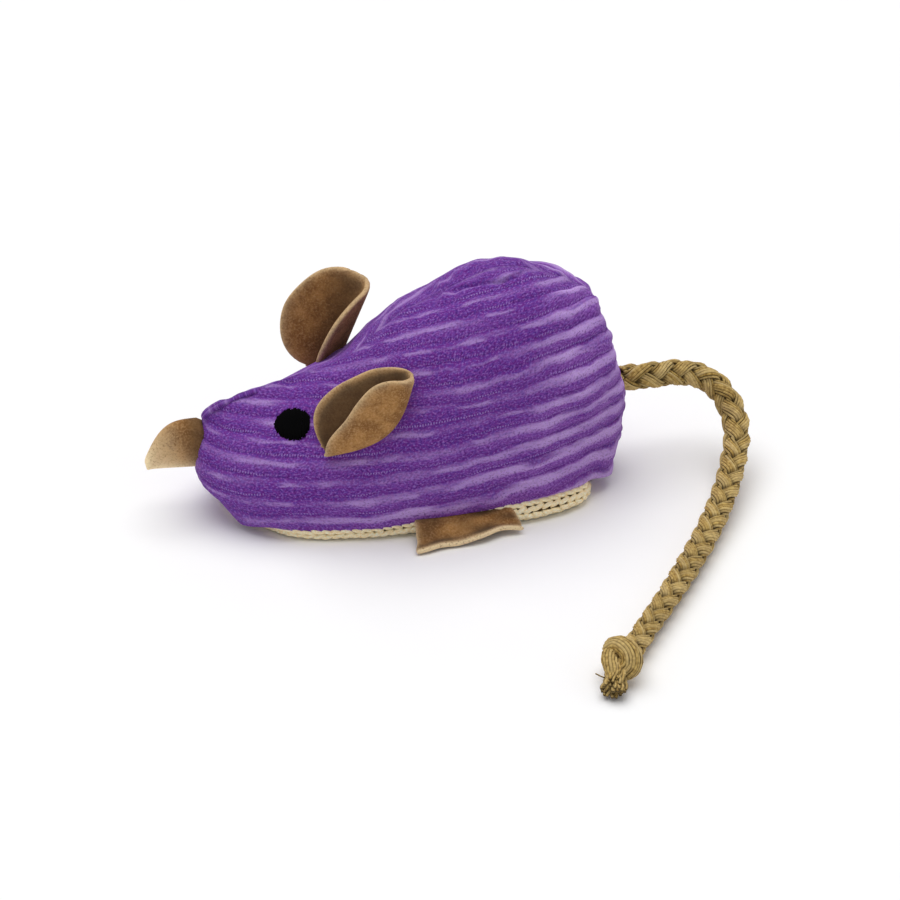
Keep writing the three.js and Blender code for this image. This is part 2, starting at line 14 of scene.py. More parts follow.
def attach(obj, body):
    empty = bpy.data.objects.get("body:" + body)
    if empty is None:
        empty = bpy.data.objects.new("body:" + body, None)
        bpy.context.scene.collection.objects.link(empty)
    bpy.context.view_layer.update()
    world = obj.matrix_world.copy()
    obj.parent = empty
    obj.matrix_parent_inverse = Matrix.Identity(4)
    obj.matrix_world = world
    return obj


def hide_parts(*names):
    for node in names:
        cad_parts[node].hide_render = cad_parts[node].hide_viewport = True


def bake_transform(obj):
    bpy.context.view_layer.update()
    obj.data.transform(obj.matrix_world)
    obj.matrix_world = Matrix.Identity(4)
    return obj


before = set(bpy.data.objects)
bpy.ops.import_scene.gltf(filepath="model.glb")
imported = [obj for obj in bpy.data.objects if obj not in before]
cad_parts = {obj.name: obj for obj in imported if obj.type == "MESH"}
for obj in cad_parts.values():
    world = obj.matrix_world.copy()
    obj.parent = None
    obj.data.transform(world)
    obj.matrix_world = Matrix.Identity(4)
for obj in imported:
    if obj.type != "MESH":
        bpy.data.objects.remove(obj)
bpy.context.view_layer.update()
METRE = 0.001
UP = np.array([0, 0, 1.0])
scene = bpy.context.scene
scene.view_settings.view_transform = "Standard"

# %% [markdown]
# ## The camera
#
# The picture was taken from the mouse's left, a little ahead of it and thirty degrees up. A long lens far
# away keeps the mouse from looking bent, as in a catalogue picture. The place of the origin in the picture
# and the number of pixels to a millimetre fix the rest.

# %% Camera
VIEW_TURN, VIEW_RISE = np.radians(12), np.radians(30)
PIXELS_PER_MM = 4.8
ORIGIN_PIXEL = (412, 486)
MIDDLE_PIXEL = 450
VIEW_DISTANCE = 900
SENSOR = 36


def facing(right, up, back):
    """Turn of a camera or a lamp, from the directions of its three axes."""
    return Matrix(np.column_stack([right, up, back]).tolist()).to_4x4()


view_right = np.array([np.cos(VIEW_TURN), -np.sin(VIEW_TURN), 0])
view_back = np.array([
    -np.sin(VIEW_TURN) * np.cos(VIEW_RISE), -np.cos(VIEW_TURN) * np.cos(VIEW_RISE), np.sin(VIEW_RISE),
])
view_up = np.cross(view_back, view_right)
aim = view_right * (MIDDLE_PIXEL - ORIGIN_PIXEL[0]) / PIXELS_PER_MM
aim = aim + view_up * (ORIGIN_PIXEL[1] - MIDDLE_PIXEL) / PIXELS_PER_MM

camera_data = bpy.data.cameras.new("camera")
camera_data.sensor_width = SENSOR
camera_data.lens = SENSOR * VIEW_DISTANCE * PIXELS_PER_MM / (2 * MIDDLE_PIXEL)
camera = bpy.data.objects.new("camera", camera_data)
stand = facing(view_right, view_up, view_back)
stand.translation = (aim + view_back * VIEW_DISTANCE) * METRE
camera.matrix_world = stand
scene.collection.objects.link(camera)
scene.camera = camera
print("camera: lens", round(camera_data.lens, 1), "mm at", VIEW_DISTANCE, "mm")

# %% [markdown]
# ## Tools for surfaces
#
# Every new piece is a grid of points. These helpers number the corners of the grid's faces, put them into
# a mesh, and turn a mesh the right way out by the sign of the volume that it encloses.

# %% Grids and meshes
def unit(vectors):
    """Each vector divided by its length."""
    vectors = np.asarray(vectors, float)
    return vectors / np.maximum(np.linalg.norm(vectors, axis=-1, keepdims=True), 1e-12)


def mixed(a, b, share):
    """The value that lies share of the way from a to b."""
    return a + (b - a) * share


def eased(value, start, end):
    """0 up to start, 1 from end on, and a cubic with level ends between them."""
    t = np.clip((value - start) / (end - start), 0, 1)
    return t * t * (3 - 2 * t)


def quads(ids):
    """Corner numbers of the faces of a grid of point numbers, each face the way from row to column."""
    return np.stack([ids[:-1, :-1], ids[1:, :-1], ids[1:, 1:], ids[:-1, 1:]], -1).reshape(-1, 4)


def ring_quads(ids):
    """The same for a grid whose rows close on themselves."""
    return quads(np.concatenate([ids, ids[:, :1]], 1))


def turned_out(points, faces, caps=()):
    """Faces and caps, turned over where six times the volume is negative: the sum of the boxes that each
    half face spans with the origin."""
    a, b, c, d = (points.reshape(-1, 3)[faces[:, i]] for i in range(4))
    if (np.cross(a, b) * c).sum() + (np.cross(a, c) * d).sum() > 0:
        return faces, caps
    return faces[:, ::-1], [cap[::-1] for cap in caps]


def piece(name, points, faces, caps=(), uv=None, values=None):
    """Smooth object from points in millimetres and corner numbers, with a UV and named values per point."""
    points = np.asarray(points, float).reshape(-1, 3)
    mesh = bpy.data.meshes.new(name)
    mesh.from_pydata((points * METRE).tolist(), [], faces.tolist() + [list(cap) for cap in caps])
    mesh.polygons.foreach_set("use_smooth", np.ones(len(mesh.polygons), bool))
    if uv is not None:
        corners = np.empty(len(mesh.loops), np.int32)
        mesh.loops.foreach_get("vertex_index", corners)
        layer = mesh.uv_layers.new(name="UVMap")
        layer.data.foreach_set("uv", np.asarray(uv, np.float32).reshape(-1, 2)[corners].ravel())
    for key, value in (values or {}).items():
        attribute = mesh.attributes.new(key, "FLOAT", "POINT")
        attribute.data.foreach_set("value", np.asarray(value, np.float32).ravel())
    mesh.update()
    made = bpy.data.objects.new(name, mesh)
    scene.collection.objects.link(made)
    print(name, len(mesh.vertices), "points,", len(mesh.polygons), "faces")
    return made


# %% [markdown]
# Cloth, suede and yarn are never quite even. A sum of a few plane waves with seeded headings and phases
# gives the same smooth unevenness on every run.

# %% Unevenness and smooth curves
def ripple(u, v, seed, waves=14):
    """Smooth unevenness of about -1 to 1 over u and v: a mean of sine waves of random heading and phase."""
    draw = np.random.default_rng(seed)
    heading, phase = draw.uniform(0, 2 * np.pi, (2, waves))
    count = draw.uniform(0.5, 1.6, waves)
    u, v = np.broadcast_arrays(np.asarray(u, float), np.asarray(v, float))
    across = u[..., None] * np.cos(heading) + v[..., None] * np.sin(heading)
    return np.sin(2 * np.pi * count * across + phase).sum(-1) / np.sqrt(waves)


def through(points, place):
    """Smooth curve through [place, value] points: cubics, sloped at a point as between its neighbours."""
    at, value = np.array(points, float).T
    slope = np.empty_like(value)
    slope[1:-1] = (value[2:] - value[:-2]) / (at[2:] - at[:-2])
    slope[[0, -1]] = (np.diff(value) / np.diff(at))[[0, -1]]
    i = np.clip(np.searchsorted(at, place) - 1, 0, len(at) - 2)
    span = at[i + 1] - at[i]
    t = (place - at[i]) / span
    rise = t * t * (3 - 2 * t)
    ends = slope[i] * t * (1 - t) ** 2 + slope[i + 1] * t * t * (t - 1)
    return mixed(value[i], value[i + 1], rise) + ends * span


def lengths(points, axis):
    """Distance run along one axis of a grid of points, from its first row or column."""
    steps = np.linalg.norm(np.diff(points, axis=axis), axis=-1)
    start = np.zeros_like(np.take(steps, [0], axis))
    return np.concatenate([start, np.cumsum(steps, axis)], axis)


def path_frame(paths, out):
    """Directions across paths and outward from them, both square to the path, the second leaning to out."""
    ahead = unit(np.gradient(paths, axis=-2))
    across = unit(np.cross(ahead, out))
    return across, np.cross(across, ahead)


def tubes(paths, radius, sides, out):
    """Round tubes along several paths: at each place a ring, square to the path, whose first point leans to
    out. Returns the points, the faces, the end caps, and each point's path number and distance along it."""
    count, steps = paths.shape[:2]
    across, outward = path_frame(paths, out)
    turn = np.linspace(0, 2 * np.pi, sides, endpoint=False)[:, None]
    ring = np.cos(turn) * outward[:, :, None] - np.sin(turn) * across[:, :, None]
    radius = np.broadcast_to(radius, (count, steps))[..., None, None]
    points = paths[:, :, None] + radius * ring
    ids = np.arange(steps * sides).reshape(steps, sides)
    first = np.arange(count)[:, None] * steps * sides
    faces = (ring_quads(ids)[None] + first[..., None]).reshape(-1, 4)
    caps = np.concatenate([ids[0] + first, ids[-1, ::-1] + first]).tolist()
    faces, caps = turned_out(points, faces, caps)
    number = np.broadcast_to(np.arange(count)[:, None, None], points.shape[:3])
    along = np.broadcast_to(lengths(paths, 1)[..., None], points.shape[:3])
    return points.reshape(-1, 3), faces, caps, number.ravel(), along.ravel()


# %% [markdown]
# ## Tools for finishes
#
# A finish is a small tree of shader nodes. These helpers add a node with its inputs and read a value that
# was stored at the points of a mesh. Colours are written as they look on a screen, from 0 to 255.

# %% Shader helpers
def colour(red, green, blue):
    """Screen colour to the linear light that shaders use: the inverse of the screen's brightness curve."""
    share = np.array([red, green, blue]) / 255
    linear = np.where(share <= 0.04045, share / 12.92, ((share + 0.055) / 1.055) ** 2.4)
    return (*linear.tolist(), 1.0)


WHITE = (255, 255, 255)


def feed(tree, node, inputs):
    """Sets a node's inputs. Each is a value, or the output of another node to be linked to."""
    for key, value in inputs.items():
        if isinstance(value, bpy.types.NodeSocket):
            tree.links.new(value, node.inputs[key])
        else:
            node.inputs[key].default_value = value
    return node


def add_node(tree, kind, inputs=None, **settings):
    """New shader node with its settings and inputs."""
    made = tree.nodes.new("ShaderNode" + kind)
    for key, value in settings.items():
        setattr(made, key, value)
    return feed(tree, made, inputs or {})


class Finish:
    """A material whose shader tree is added to node by node. Its shades are outputs or screen colours."""

    def __init__(self, name, roughness, sheen=0.0, sheen_tint=WHITE, sheen_roughness=0.5, shine=0.2):
        self.material = bpy.data.materials.new(name)
        self.material.use_nodes = True
        self.tree = self.material.node_tree
        self.shader = feed(self.tree, self.tree.nodes["Principled BSDF"], {
            "Roughness": roughness, "Specular IOR Level": shine, "Sheen Weight": sheen,
            "Sheen Tint": colour(*sheen_tint), "Sheen Roughness": sheen_roughness,
        })

    def node(self, kind, inputs=None, **settings):
        return add_node(self.tree, kind, inputs, **settings)

    def math(self, operation, a, b=0.0):
        return self.node("Math", {0: a, 1: b}, operation=operation).outputs[0]

    def times(self, a, b):
        return self.math("MULTIPLY", a, b)

    def levels(self, share, low, high):
        """0 at low, 1 at high, and smooth between them."""
        inputs = {0: share, 1: low, 2: high}
        return self.node("MapRange", inputs, interpolation_type="SMOOTHSTEP").outputs[0]

    def near(self, value, middle, far, close):
        """1 where a value is within close of the middle, and 0 where it is further than far."""
        return self.levels(self.math("ABSOLUTE", self.math("SUBTRACT", value, middle)), far, close)

    def mix(self, share, a, b):
        a, b = (colour(*shade) if isinstance(shade, tuple) else shade for shade in (a, b))
        return self.node("Mix", {0: share, 6: a, 7: b}, data_type="RGBA").outputs[2]

    def tint(self, shade, share, most, screen):
        """A shade turned toward a screen colour, by share times most of the way."""
        return self.mix(self.times(share, most), shade, screen)

    def ramp(self, share, stops):
        made = self.node("ValToRGB", {0: share})
        band = made.color_ramp
        while len(band.elements) < len(stops):
            band.elements.new(0.5)
        for element, (at, screen) in zip(band.elements, stops):
            element.position = at
            element.color = colour(*screen)
        return made.outputs["Color"]

    def value(self, name):
        return self.node("Attribute", attribute_name=name).outputs["Fac"]

    def cloth_place(self):
        return self.node("UVMap", uv_map="UVMap").outputs["UV"]

    def noise(self, scale, detail=2.0, roughness=0.5, place=None):
        """Noise with so many cells to a metre, or to a unit of another place."""
        if place is None:
            place = self.node("TexCoord").outputs["Object"]
        inputs = {"Vector": place, "Scale": scale, "Detail": detail, "Roughness": roughness}
        return self.node("TexNoise", inputs).outputs["Fac"]

    def cloth_noise(self, along, up, detail=2.0, roughness=0.5):
        """Noise with so many cells to a unit of the UV, along and up."""
        place = self.node("VectorMath", {0: self.cloth_place(), 1: (along, up, 1.0)}, operation="MULTIPLY")
        return self.noise(1.0, detail, roughness, place.outputs[0])

    def done(self, shade, height=None, strength=0.5, distance=0.1):
        feed(self.tree, self.shader, {"Base Color": shade})
        if height is not None:
            bump = self.node("Bump", {"Height": height, "Strength": strength, "Distance": distance * METRE})
            feed(self.tree, self.shader, {"Normal": bump.outputs[0]})
        return self.material


def dress(made, body, slot, material, *nodes):
    """Puts a finish on a piece, ties it to its body and hides the nodes that it stands for."""
    made.data.materials.append(material)
    if body is not None:
        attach(made, body)
    if nodes:
        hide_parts(*nodes)
    return made


# %% [markdown]
# ## The braided tail
#
# The tail is a length of soft cord plaited from eight strands, four going round each way, and each strand
# is a flat bundle of six yarns. Where a strand lies on top depends only on its angle round the cord: each
# way has two quarters of the round, which is why a plait shows rows of chevrons. A texture on a plain tube
# has a smooth edge and no dark gaps, so every yarn is a tube of its own here.

# %% The cord's route
CORD_DIAMETER = 6
TAIL_EXIT = np.array([45.08, 0, 20.5])
CORD_JOIN = TAIL_EXIT - [1, 0, 0]
SEWN_START = np.array([36.1, 0, 20.5])
TAIL_ROUTE = np.array([
    [48.48, 0, 20.5], [51.08, 0.6, 20.21], [54.08, 1.6, 19.7], [58.08, 2.8, 18.8], [62.08, 2.9, 17.51],
    [65.28, 1.7, 15.6], [67.28, -0.9, 13.2], [67.98, -4.8, 10.6], [67.08, -9.6, 8.3], [65.08, -14.7, 6.61],
    [62.58, -20.2, 5.4], [59.58, -26.1, 4.5], [56.08, -32.3, 3.7], [52.18, -38.8, 3.2],
    [47.98, -45.7, 3.2], [43.58, -52.6, 3.2], [39.08, -59.4, 3.2], [34.58, -66, 3.2], [29.48, -73.6, 3.2],
])
KNOT_CENTRE = np.array([25.5, -79.5, 4.6])
KNOT_AWAY = unit(np.array([-0.557, -0.83, 0]))
YARN_STEP = 0.5


def line_through(points, step=YARN_STEP):
    """Evenly spaced points on the smooth curve through the given ones, a coordinate at a time."""
    chord = lengths(points, 0)
    fine = np.linspace(0, chord[-1], 40 * len(points))
    curve = np.stack([through(np.stack([chord, points[:, i]], 1), fine) for i in range(3)], 1)
    run = lengths(curve, 0)
    even = np.linspace(0, run[-1], int(run[-1] / step) + 1)
    return np.stack([np.interp(even, run, curve[:, i]) for i in range(3)], 1)


tail_line = line_through(np.concatenate([[CORD_JOIN], TAIL_ROUTE, [KNOT_CENTRE]]))
print("tail: cord of", round(lengths(tail_line, 0)[-1], 1), "mm to the middle of the knot")

# %% Plait the yarns
PLAIT_PITCH = 21
STRANDS_EACH_WAY = 4
STRAND_CROWN, STRAND_DIVE = 0.1, 2.6
YARNS = 6
YARN_RADIUS, YARN_GAP, YARN_SWAY = 0.29, 0.46, 0.06
CHEVRON_TURN = np.radians(67)
PULLED_TIGHT, PULLED_THINNER = (55, 108), 0.15
TOP_RADIUS, LOW_RADIUS = 2.64, 1.35
STREAKS_APART = 3.7


def tightness(run):
    """Share of its thickness that the plait keeps: less near the knot, where it is pulled tight."""
    return 1 - PULLED_THINNER * eased(run, *PULLED_TIGHT)


def plait(line, seed):
    """Yarn paths of a plait round a line. A strand's angle is plus or minus one turn for each pitch. Its
    distance from the line swings between the top and the low radius with the cosine of twice its angle. The
    yarns of a strand lie side by side, square to the strand, with the middle ones highest."""
    side, top = path_frame(line, UP)
    run = lengths(line, 0)
    way = np.repeat([1, -1], STRANDS_EACH_WAY)[:, None]
    start = np.tile(np.arange(STRANDS_EACH_WAY), 2)[:, None] * 2 * np.pi / STRANDS_EACH_WAY
    angle = way * 2 * np.pi * run / PLAIT_PITCH + start
    lie = np.tanh(STRAND_DIVE * way * np.cos(2 * (angle - CHEVRON_TURN)))
    out = np.cos(angle)[..., None] * side + np.sin(angle)[..., None] * top
    taper = tightness(run)
    strand = line + out * (mixed(LOW_RADIUS, TOP_RADIUS, (lie + 1) / 2) * taper)[..., None]
    across = unit(np.cross(np.gradient(strand, axis=1), out))
    yarn = (np.arange(YARNS) - (YARNS - 1) / 2)[:, None]
    strand_number = np.arange(len(strand))[:, None, None]
    sway = YARN_SWAY * ripple(run / 6, strand_number * 7 + yarn * 2.3, seed)
    aside = yarn * YARN_GAP * taper + sway
    crown = sway - STRAND_CROWN * yarn ** 2
    paths = strand[:, None] + aside[..., None] * across[:, None] + crown[..., None] * out[:, None]
    outs = np.broadcast_to(out[:, None], paths.shape)
    return paths.reshape(-1, len(line), 3), outs.reshape(-1, len(line), 3)


def yarn_piece(name, paths, outs, radius, sides, seed, line=None):
    """Tubes along yarn paths, each with a tone of its own. A point's height sets how much painted shade it
    gets: without a line, by how far it is from the yarn's outer side. Round a line the yarns get a plain
    core too, in full painted shade, and the height is the distance from the line."""
    points, faces, caps, number, along = tubes(paths, radius, sides, outs)
    tone = np.random.default_rng(seed).uniform(0, 1, len(paths))[number]
    uv = np.stack([along, number * STREAKS_APART], 1)
    around = np.cos(2 * np.pi * np.arange(sides) / sides)
    height = np.tile(0.6 + 0.4 * around, len(points) // sides)
    if line is not None:
        away = points.reshape(len(paths), len(line), sides, 3) - line[:, None]
        thick = CORD_DIAMETER / 2 * tightness(lengths(line, 0))[:, None]
        height = (np.linalg.norm(away, axis=-1) / thick).ravel()
        core, core_faces, core_caps, _, run = tubes(line[None], LOW_RADIUS, 10, UP)
        faces = np.concatenate([faces, core_faces + len(points)])
        caps = caps + (np.array(core_caps) + len(points)).tolist()
        points = np.concatenate([points, core])
        tone = np.concatenate([tone, 0 * run])
        height = np.concatenate([height, 0 * run])
        uv = np.concatenate([uv, np.stack([run, 0 * run], 1)])
    return piece(name, points, faces, caps, uv, {"tone": tone, "height": height})


def braid(name, line, seed):
    """A plait along a line, as one piece."""
    paths, outs = plait(line, seed)
    return yarn_piece(name, paths, outs, YARN_RADIUS, 6, seed + 1, line)


# %% The cord's finish
YARN_TANS = (142, 108, 46), (204, 172, 98)
YARN_PALE, YARN_STAIN, YARN_PAINTED_SHADE = (228, 206, 152), (132, 106, 54), (62, 46, 20)


def cord_finish():
    """Golden tan yarn: fine streaks along each yarn, a tone for each yarn, and painted shade between the
    strands and on each yarn's hidden side.
    """
    made = Finish("plaited_yarn", 0.75, sheen=0.1, sheen_tint=(240, 220, 170))
    streak = made.cloth_noise(1.3, 9.0, 3)
    shade = made.mix(made.levels(streak, 0.3, 0.7), *YARN_TANS)
    shade = made.tint(shade, made.value("tone"), 0.46, YARN_PALE)
    shade = made.tint(shade, made.levels(made.noise(130), 0.42, 0.66), 0.3, YARN_STAIN)
    # Painted shade: the lower a point's height, the darker it is, so the gaps between strands and the yarns'
    # hidden sides look shaded.
    shade = made.tint(shade, made.levels(made.value("height"), 0.93, 0.66), 0.85, YARN_PAINTED_SHADE)
    return made.done(shade, streak, 0.5, 0.12)


cord_yarn = cord_finish()
tail_braid = braid("tail_braid", tail_line, 11)
dress(tail_braid, None, "braided_cord", cord_yarn, "tail_cord")
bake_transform(tail_braid)

sewn_line = line_through(np.stack([SEWN_START, SEWN_START + [3, 0, 0], CORD_JOIN]))
sewn_braid = braid("sewn_braid", sewn_line, 13)
dress(sewn_braid, "mouse_body", "braided_cord", cord_yarn, "tail_sewn_end")

# %% [markdown]
# ## The knot
#
# The cord ends in an overhand knot, pulled tight, with its yarns frayed into a short brush. Pulled tight,
# the plait opens into bundles of nearly straight yarns: one bundle wraps over the knot from its left and
# down its right side, and another comes out from under that wrap on the left. The brush is cut from the
# same yarns, each with its own heading, sinking to the floor as it leaves the knot.

# %% Knot
KNOT_YARN, KNOT_SWAY, KNOT_FLAT, KNOT_LOWEST = 0.36, 0.13, 0.86, 0.55
KNOT_RING = [
    [-0.6, 0.9, -0.9], [-1.7, -0.6, -0.7], [-1.3, -2.1, 0.2], [-0.1, -2.4, 1.2], [-0.1, -0.9, 2.1],
    [0.6, 1, 2], [1.4, 2.1, 1.1], [2.3, 2.4, -0.2], [2.8, 1.6, -1.4], [1.8, 0.2, -2],
]
KNOT_LOBE = [
    [-0.4, -0.2, 0.2], [0.4, -1.4, 0.5], [1.6, -2.2, 0.5], [3, -1.7, 0], [4.6, -0.6, -0.7], [6, 0.2, -1.4],
]
knot_aside = np.cross(UP, KNOT_AWAY)


def local(places):
    """Points given as away from the cord, aside and up, seen from the knot's middle."""
    return KNOT_CENTRE + np.asarray(places) @ np.stack([KNOT_AWAY, knot_aside, UP])


def bundle(name, places, radius, count, twist, sway_seed, tone_seed):
    """Yarns round a line: each keeps its place on a slightly flattened circle that turns slowly along the
    line, and the circle draws in at the ends."""
    line = line_through(local(places))
    share = np.linspace(0, 1, len(line))
    aside, out = path_frame(line, unit(line - KNOT_CENTRE + 0.01 * UP))
    around = np.linspace(0, 2 * np.pi, count, endpoint=False)[:, None] + twist * share
    sway = KNOT_SWAY * ripple(share * 5, np.arange(count)[:, None] * 1.7, sway_seed)
    tuck = 1 - 0.4 * np.abs(2 * share - 1) ** 8
    away = np.cos(around)[..., None] * out * KNOT_FLAT + np.sin(around)[..., None] * aside
    paths = line + away * (radius * tuck + sway)[..., None]
    paths[..., 2] = np.maximum(paths[..., 2], KNOT_LOWEST)
    return yarn_piece(name, paths, unit(away), KNOT_YARN, 6, tone_seed)


knot_ring = bundle("tail_knot_ring", KNOT_RING, 1.8, 19, 0.9, 15, 15)
knot_lobe = bundle("tail_knot_lobe", KNOT_LOBE, 1.5, 14, 1.0, 19, 20)
dress(knot_ring, "tail", "braided_cord", cord_yarn, "tail_knot")
dress(knot_lobe, "tail", "braided_cord", cord_yarn)

# %% Tuft and the whole cord
TUFT_YARNS, TUFT_LENGTH, TUFT_SPREAD = 90, (6, 8.4), (1.3, 2.3)
TUFT_START, TUFT_CRIMP = 1.4, 0.3
STRAY_PLACES = [[5.6, -0.6, -1.4], [7.3, -1.4, -0.9], [8.6, -2.6, 0.4]]


def tuft(count, seed):
    """Yarns of the brush: each leaves the knot on a disc, keeps its heading, spreads out, sinks as it goes
    and is crimped, as yarn from a plait is."""
    draw = np.random.default_rng(seed)
    t = np.linspace(0, 1, 22)
    angle = draw.uniform(0, 2 * np.pi, (count, 1))
    wide = np.sqrt(draw.uniform(0, 1, (count, 1)))
    length = draw.uniform(*TUFT_LENGTH, (count, 1))
    spread = wide * mixed(*TUFT_SPREAD, t)
    crimp = TUFT_CRIMP * np.sin(t * draw.uniform(9, 16, (count, 1)) + angle * 5) * np.sqrt(t)
    aside = spread * np.cos(angle) + crimp - 0.4 + 1.3 * t
    rise = spread * np.sin(angle) * 0.9 + 0.7 * crimp - 0.3 - 2 * t
    path = local(np.stack(np.broadcast_arrays(TUFT_START + length * t, aside, rise), -1))
    path[..., 2] = np.maximum(path[..., 2], 0.5 + 0.25 * wide)
    return path


knot_tuft = yarn_piece("tail_tuft", tuft(TUFT_YARNS, 16), UP, 0.33, 5, 17)
dress(knot_tuft, "tail", "braided_cord", cord_yarn)
stray = line_through(local(STRAY_PLACES), 0.3)
stray_yarn = yarn_piece("tail_stray_yarn", stray[None], UP, 0.14, 5, 18)
dress(stray_yarn, "tail", "braided_cord", cord_yarn)

cord_length = lengths(tail_line, 0)[-1] * METRE
print("tail: declared", round(cord_length * 1000, 1), "mm")

# %% [markdown]
# ## The stuffed body
#
# Two sides cut from wide-wale corduroy are sewn along the back, the front and the rear, and stuffed tight.
# The surface follows the solid's formula, and differs by a millimetre or two at the hem and the ends. The
# ribs follow the cloth: how far a point is up the cloth from the base seam says which rib it is on.
# Displacing the grid itself gives ribs that show on the outline, which a bump map can't do, and it needs
# no simulation to keep the photographed shape.

# %% The body's surface
BODY_LENGTH, BODY_WIDTH = 88, 40
SIDE_BULGE, REAR_BULGE = 2.5, 1.3
FRONT_SWELL = [
    (0, -0.3), (0.2, -0.1), (0.35, 0.6), (0.5, 1.3), (0.65, 1.5), (0.8, 0.8), (0.9, -0.4), (1, -2.2),
]
PLAN_POWER, REAR_ROUND = 0.82, 0.14
HEAD_ARCH, RUMP_ARCH, HEAD_PEAK = 1.4, 0.85, 0.4
NECK = (0.25, 0.6)
BACK_LINE = [
    (0, 21.2), (0.2, 25.8), (0.36, 29.8), (0.43, 33), (0.5, 42.8), (0.57, 48.3), (0.63, 49.8),
    (0.7, 47.3), (0.77, 44.3), (0.82, 41.9), (0.87, 35.8), (0.93, 27.4), (1, 23),
]
BASE_LINE = [
    (0, 2.8), (0.12, 2.3), (0.23, 2.2), (0.4, 2.4), (0.5, 3.3), (0.6, 4.6), (0.77, 4.3), (0.88, 2.5),
    (1, 3.4),
]
SEAM_GAP = 0.3
FRONT_TUCK, REAR_TUCK = 3.4, 7
SLOPE_STEP = 0.004


def end_swell(along, level):
    """How far an end stands past half the body's length: a curve in front, half a wave at the rear."""
    level = np.abs(level)
    return np.where(along < 0.5, through(FRONT_SWELL, level), REAR_BULGE * np.sin(np.pi * level))


def oval(along, level, far, half, side):
    """x and y on a squarish ellipse with two half axes, rounder low down at the rear."""
    turn = np.pi * along
    power = PLAN_POWER + REAR_ROUND * eased(along, 0.5, 0.7) * eased(level, 0.3, 1)
    x = -far * np.sign(np.cos(turn)) * np.abs(np.cos(turn)) ** PLAN_POWER
    return x, side * half * np.maximum(np.sin(turn), 0) ** power


def cover_surface(along, level, side):
    """Point of a cover. along runs from the front seam, 0, to the rear seam, 1, and level from the back
    seam, 0, to the base seam, 1. The plan is an oval, a section is an arch that swells at half height, and
    the heights are those of the back line and the base line."""
    along, level = np.broadcast_arrays(np.asarray(along, float), np.asarray(level, float))
    lift = (1 - level) * np.pi / 2
    rump = eased(along, *NECK)
    arch = mixed(HEAD_ARCH, RUMP_ARCH, rump)
    half = BODY_WIDTH / 2 * np.maximum(np.cos(lift), 0) ** arch + SIDE_BULGE * np.sin(2 * lift)
    x, y = oval(along, level, BODY_LENGTH / 2 + end_swell(along, level), half, side)
    low = through(BASE_LINE, along)
    rise = mixed(np.sin(lift), 1 - level, HEAD_PEAK * (1 - rump))
    return np.stack([x, y, low + (through(BACK_LINE, along) - low) * rise], -1)


def cover_rates(along, level, side, step):
    """How a point of a cover moves with along and with level: differences over twice a small step."""
    rear = cover_surface(along + step, level, side) - cover_surface(along - step, level, side)
    down = cover_surface(along, level + step, side) - cover_surface(along, level - step, side)
    return rear / (2 * step), down / (2 * step)


def cover_frame(along, level, side):
    """Point of a cover with its outward direction and the directions toward the rear and up the cloth."""
    rearward, downward = cover_rates(along, level, side, SLOPE_STEP)
    normal = unit(np.cross(rearward, downward)) * side
    rearward = unit(rearward)
    return cover_surface(along, level, side), normal, rearward, np.cross(normal, rearward) * side


def plan(along, side, inset):
    """Outline of the base: the body's oval, drawn in by inset."""
    return oval(along, 1, BODY_LENGTH / 2 + end_swell(along, 1) - inset, BODY_WIDTH / 2 - inset, side)


def base_tuck(along):
    """How far the base lies in from the covers: nothing at the sides, a little in front, more behind."""
    return FRONT_TUCK * (1 - eased(along, 0.14, 0.32)) + REAR_TUCK * eased(along, 0.73, 0.91)


# %% Ribbed covers
COVER_ROWS, COVER_COLUMNS = 250, 180
CLOTH_THICKNESS = 1.1
WALE, WALE_RELIEF, WALE_POWER, WALE_LEVEL = 4.23, 0.8, 0.62, 0.85
RIB_RISE = 5
SEAM_SINK, SEAM_REACH = 0.35, 1.1
PUCKER_SEED, PUCKER_HEIGHT, LUMP_HEIGHT = 23, 0.5, 0.3
CREASE_LINE = [(0, 0.05), (0.54, 0.05), (0.615, 0.105), (0.675, 0.025), (1, 0.025)]
CREASE_WIDTH, CREASE_DEPTH = 0.8, 1.1
HEM_DROP = [(0, 0), (0.05, 0.2), (0.15, 2.2), (0.28, 0), (0.75, 0), (0.84, 2), (0.92, 0.8), (1, 0)]
HEM_OUT, HEM_SINK, HEM_LOWEST = 0.6, 0.3, 0.7
FRONT_DRAW, REAR_DRAW, REAR_TURN_IN = 2.6, 1.6, 2.6


def wale_height(phase):
    """Round-topped rib: one less the square of the distance from its middle, to a low power."""
    return np.maximum(1 - (2 * (phase % 1) - 1) ** 2, 0) ** WALE_POWER


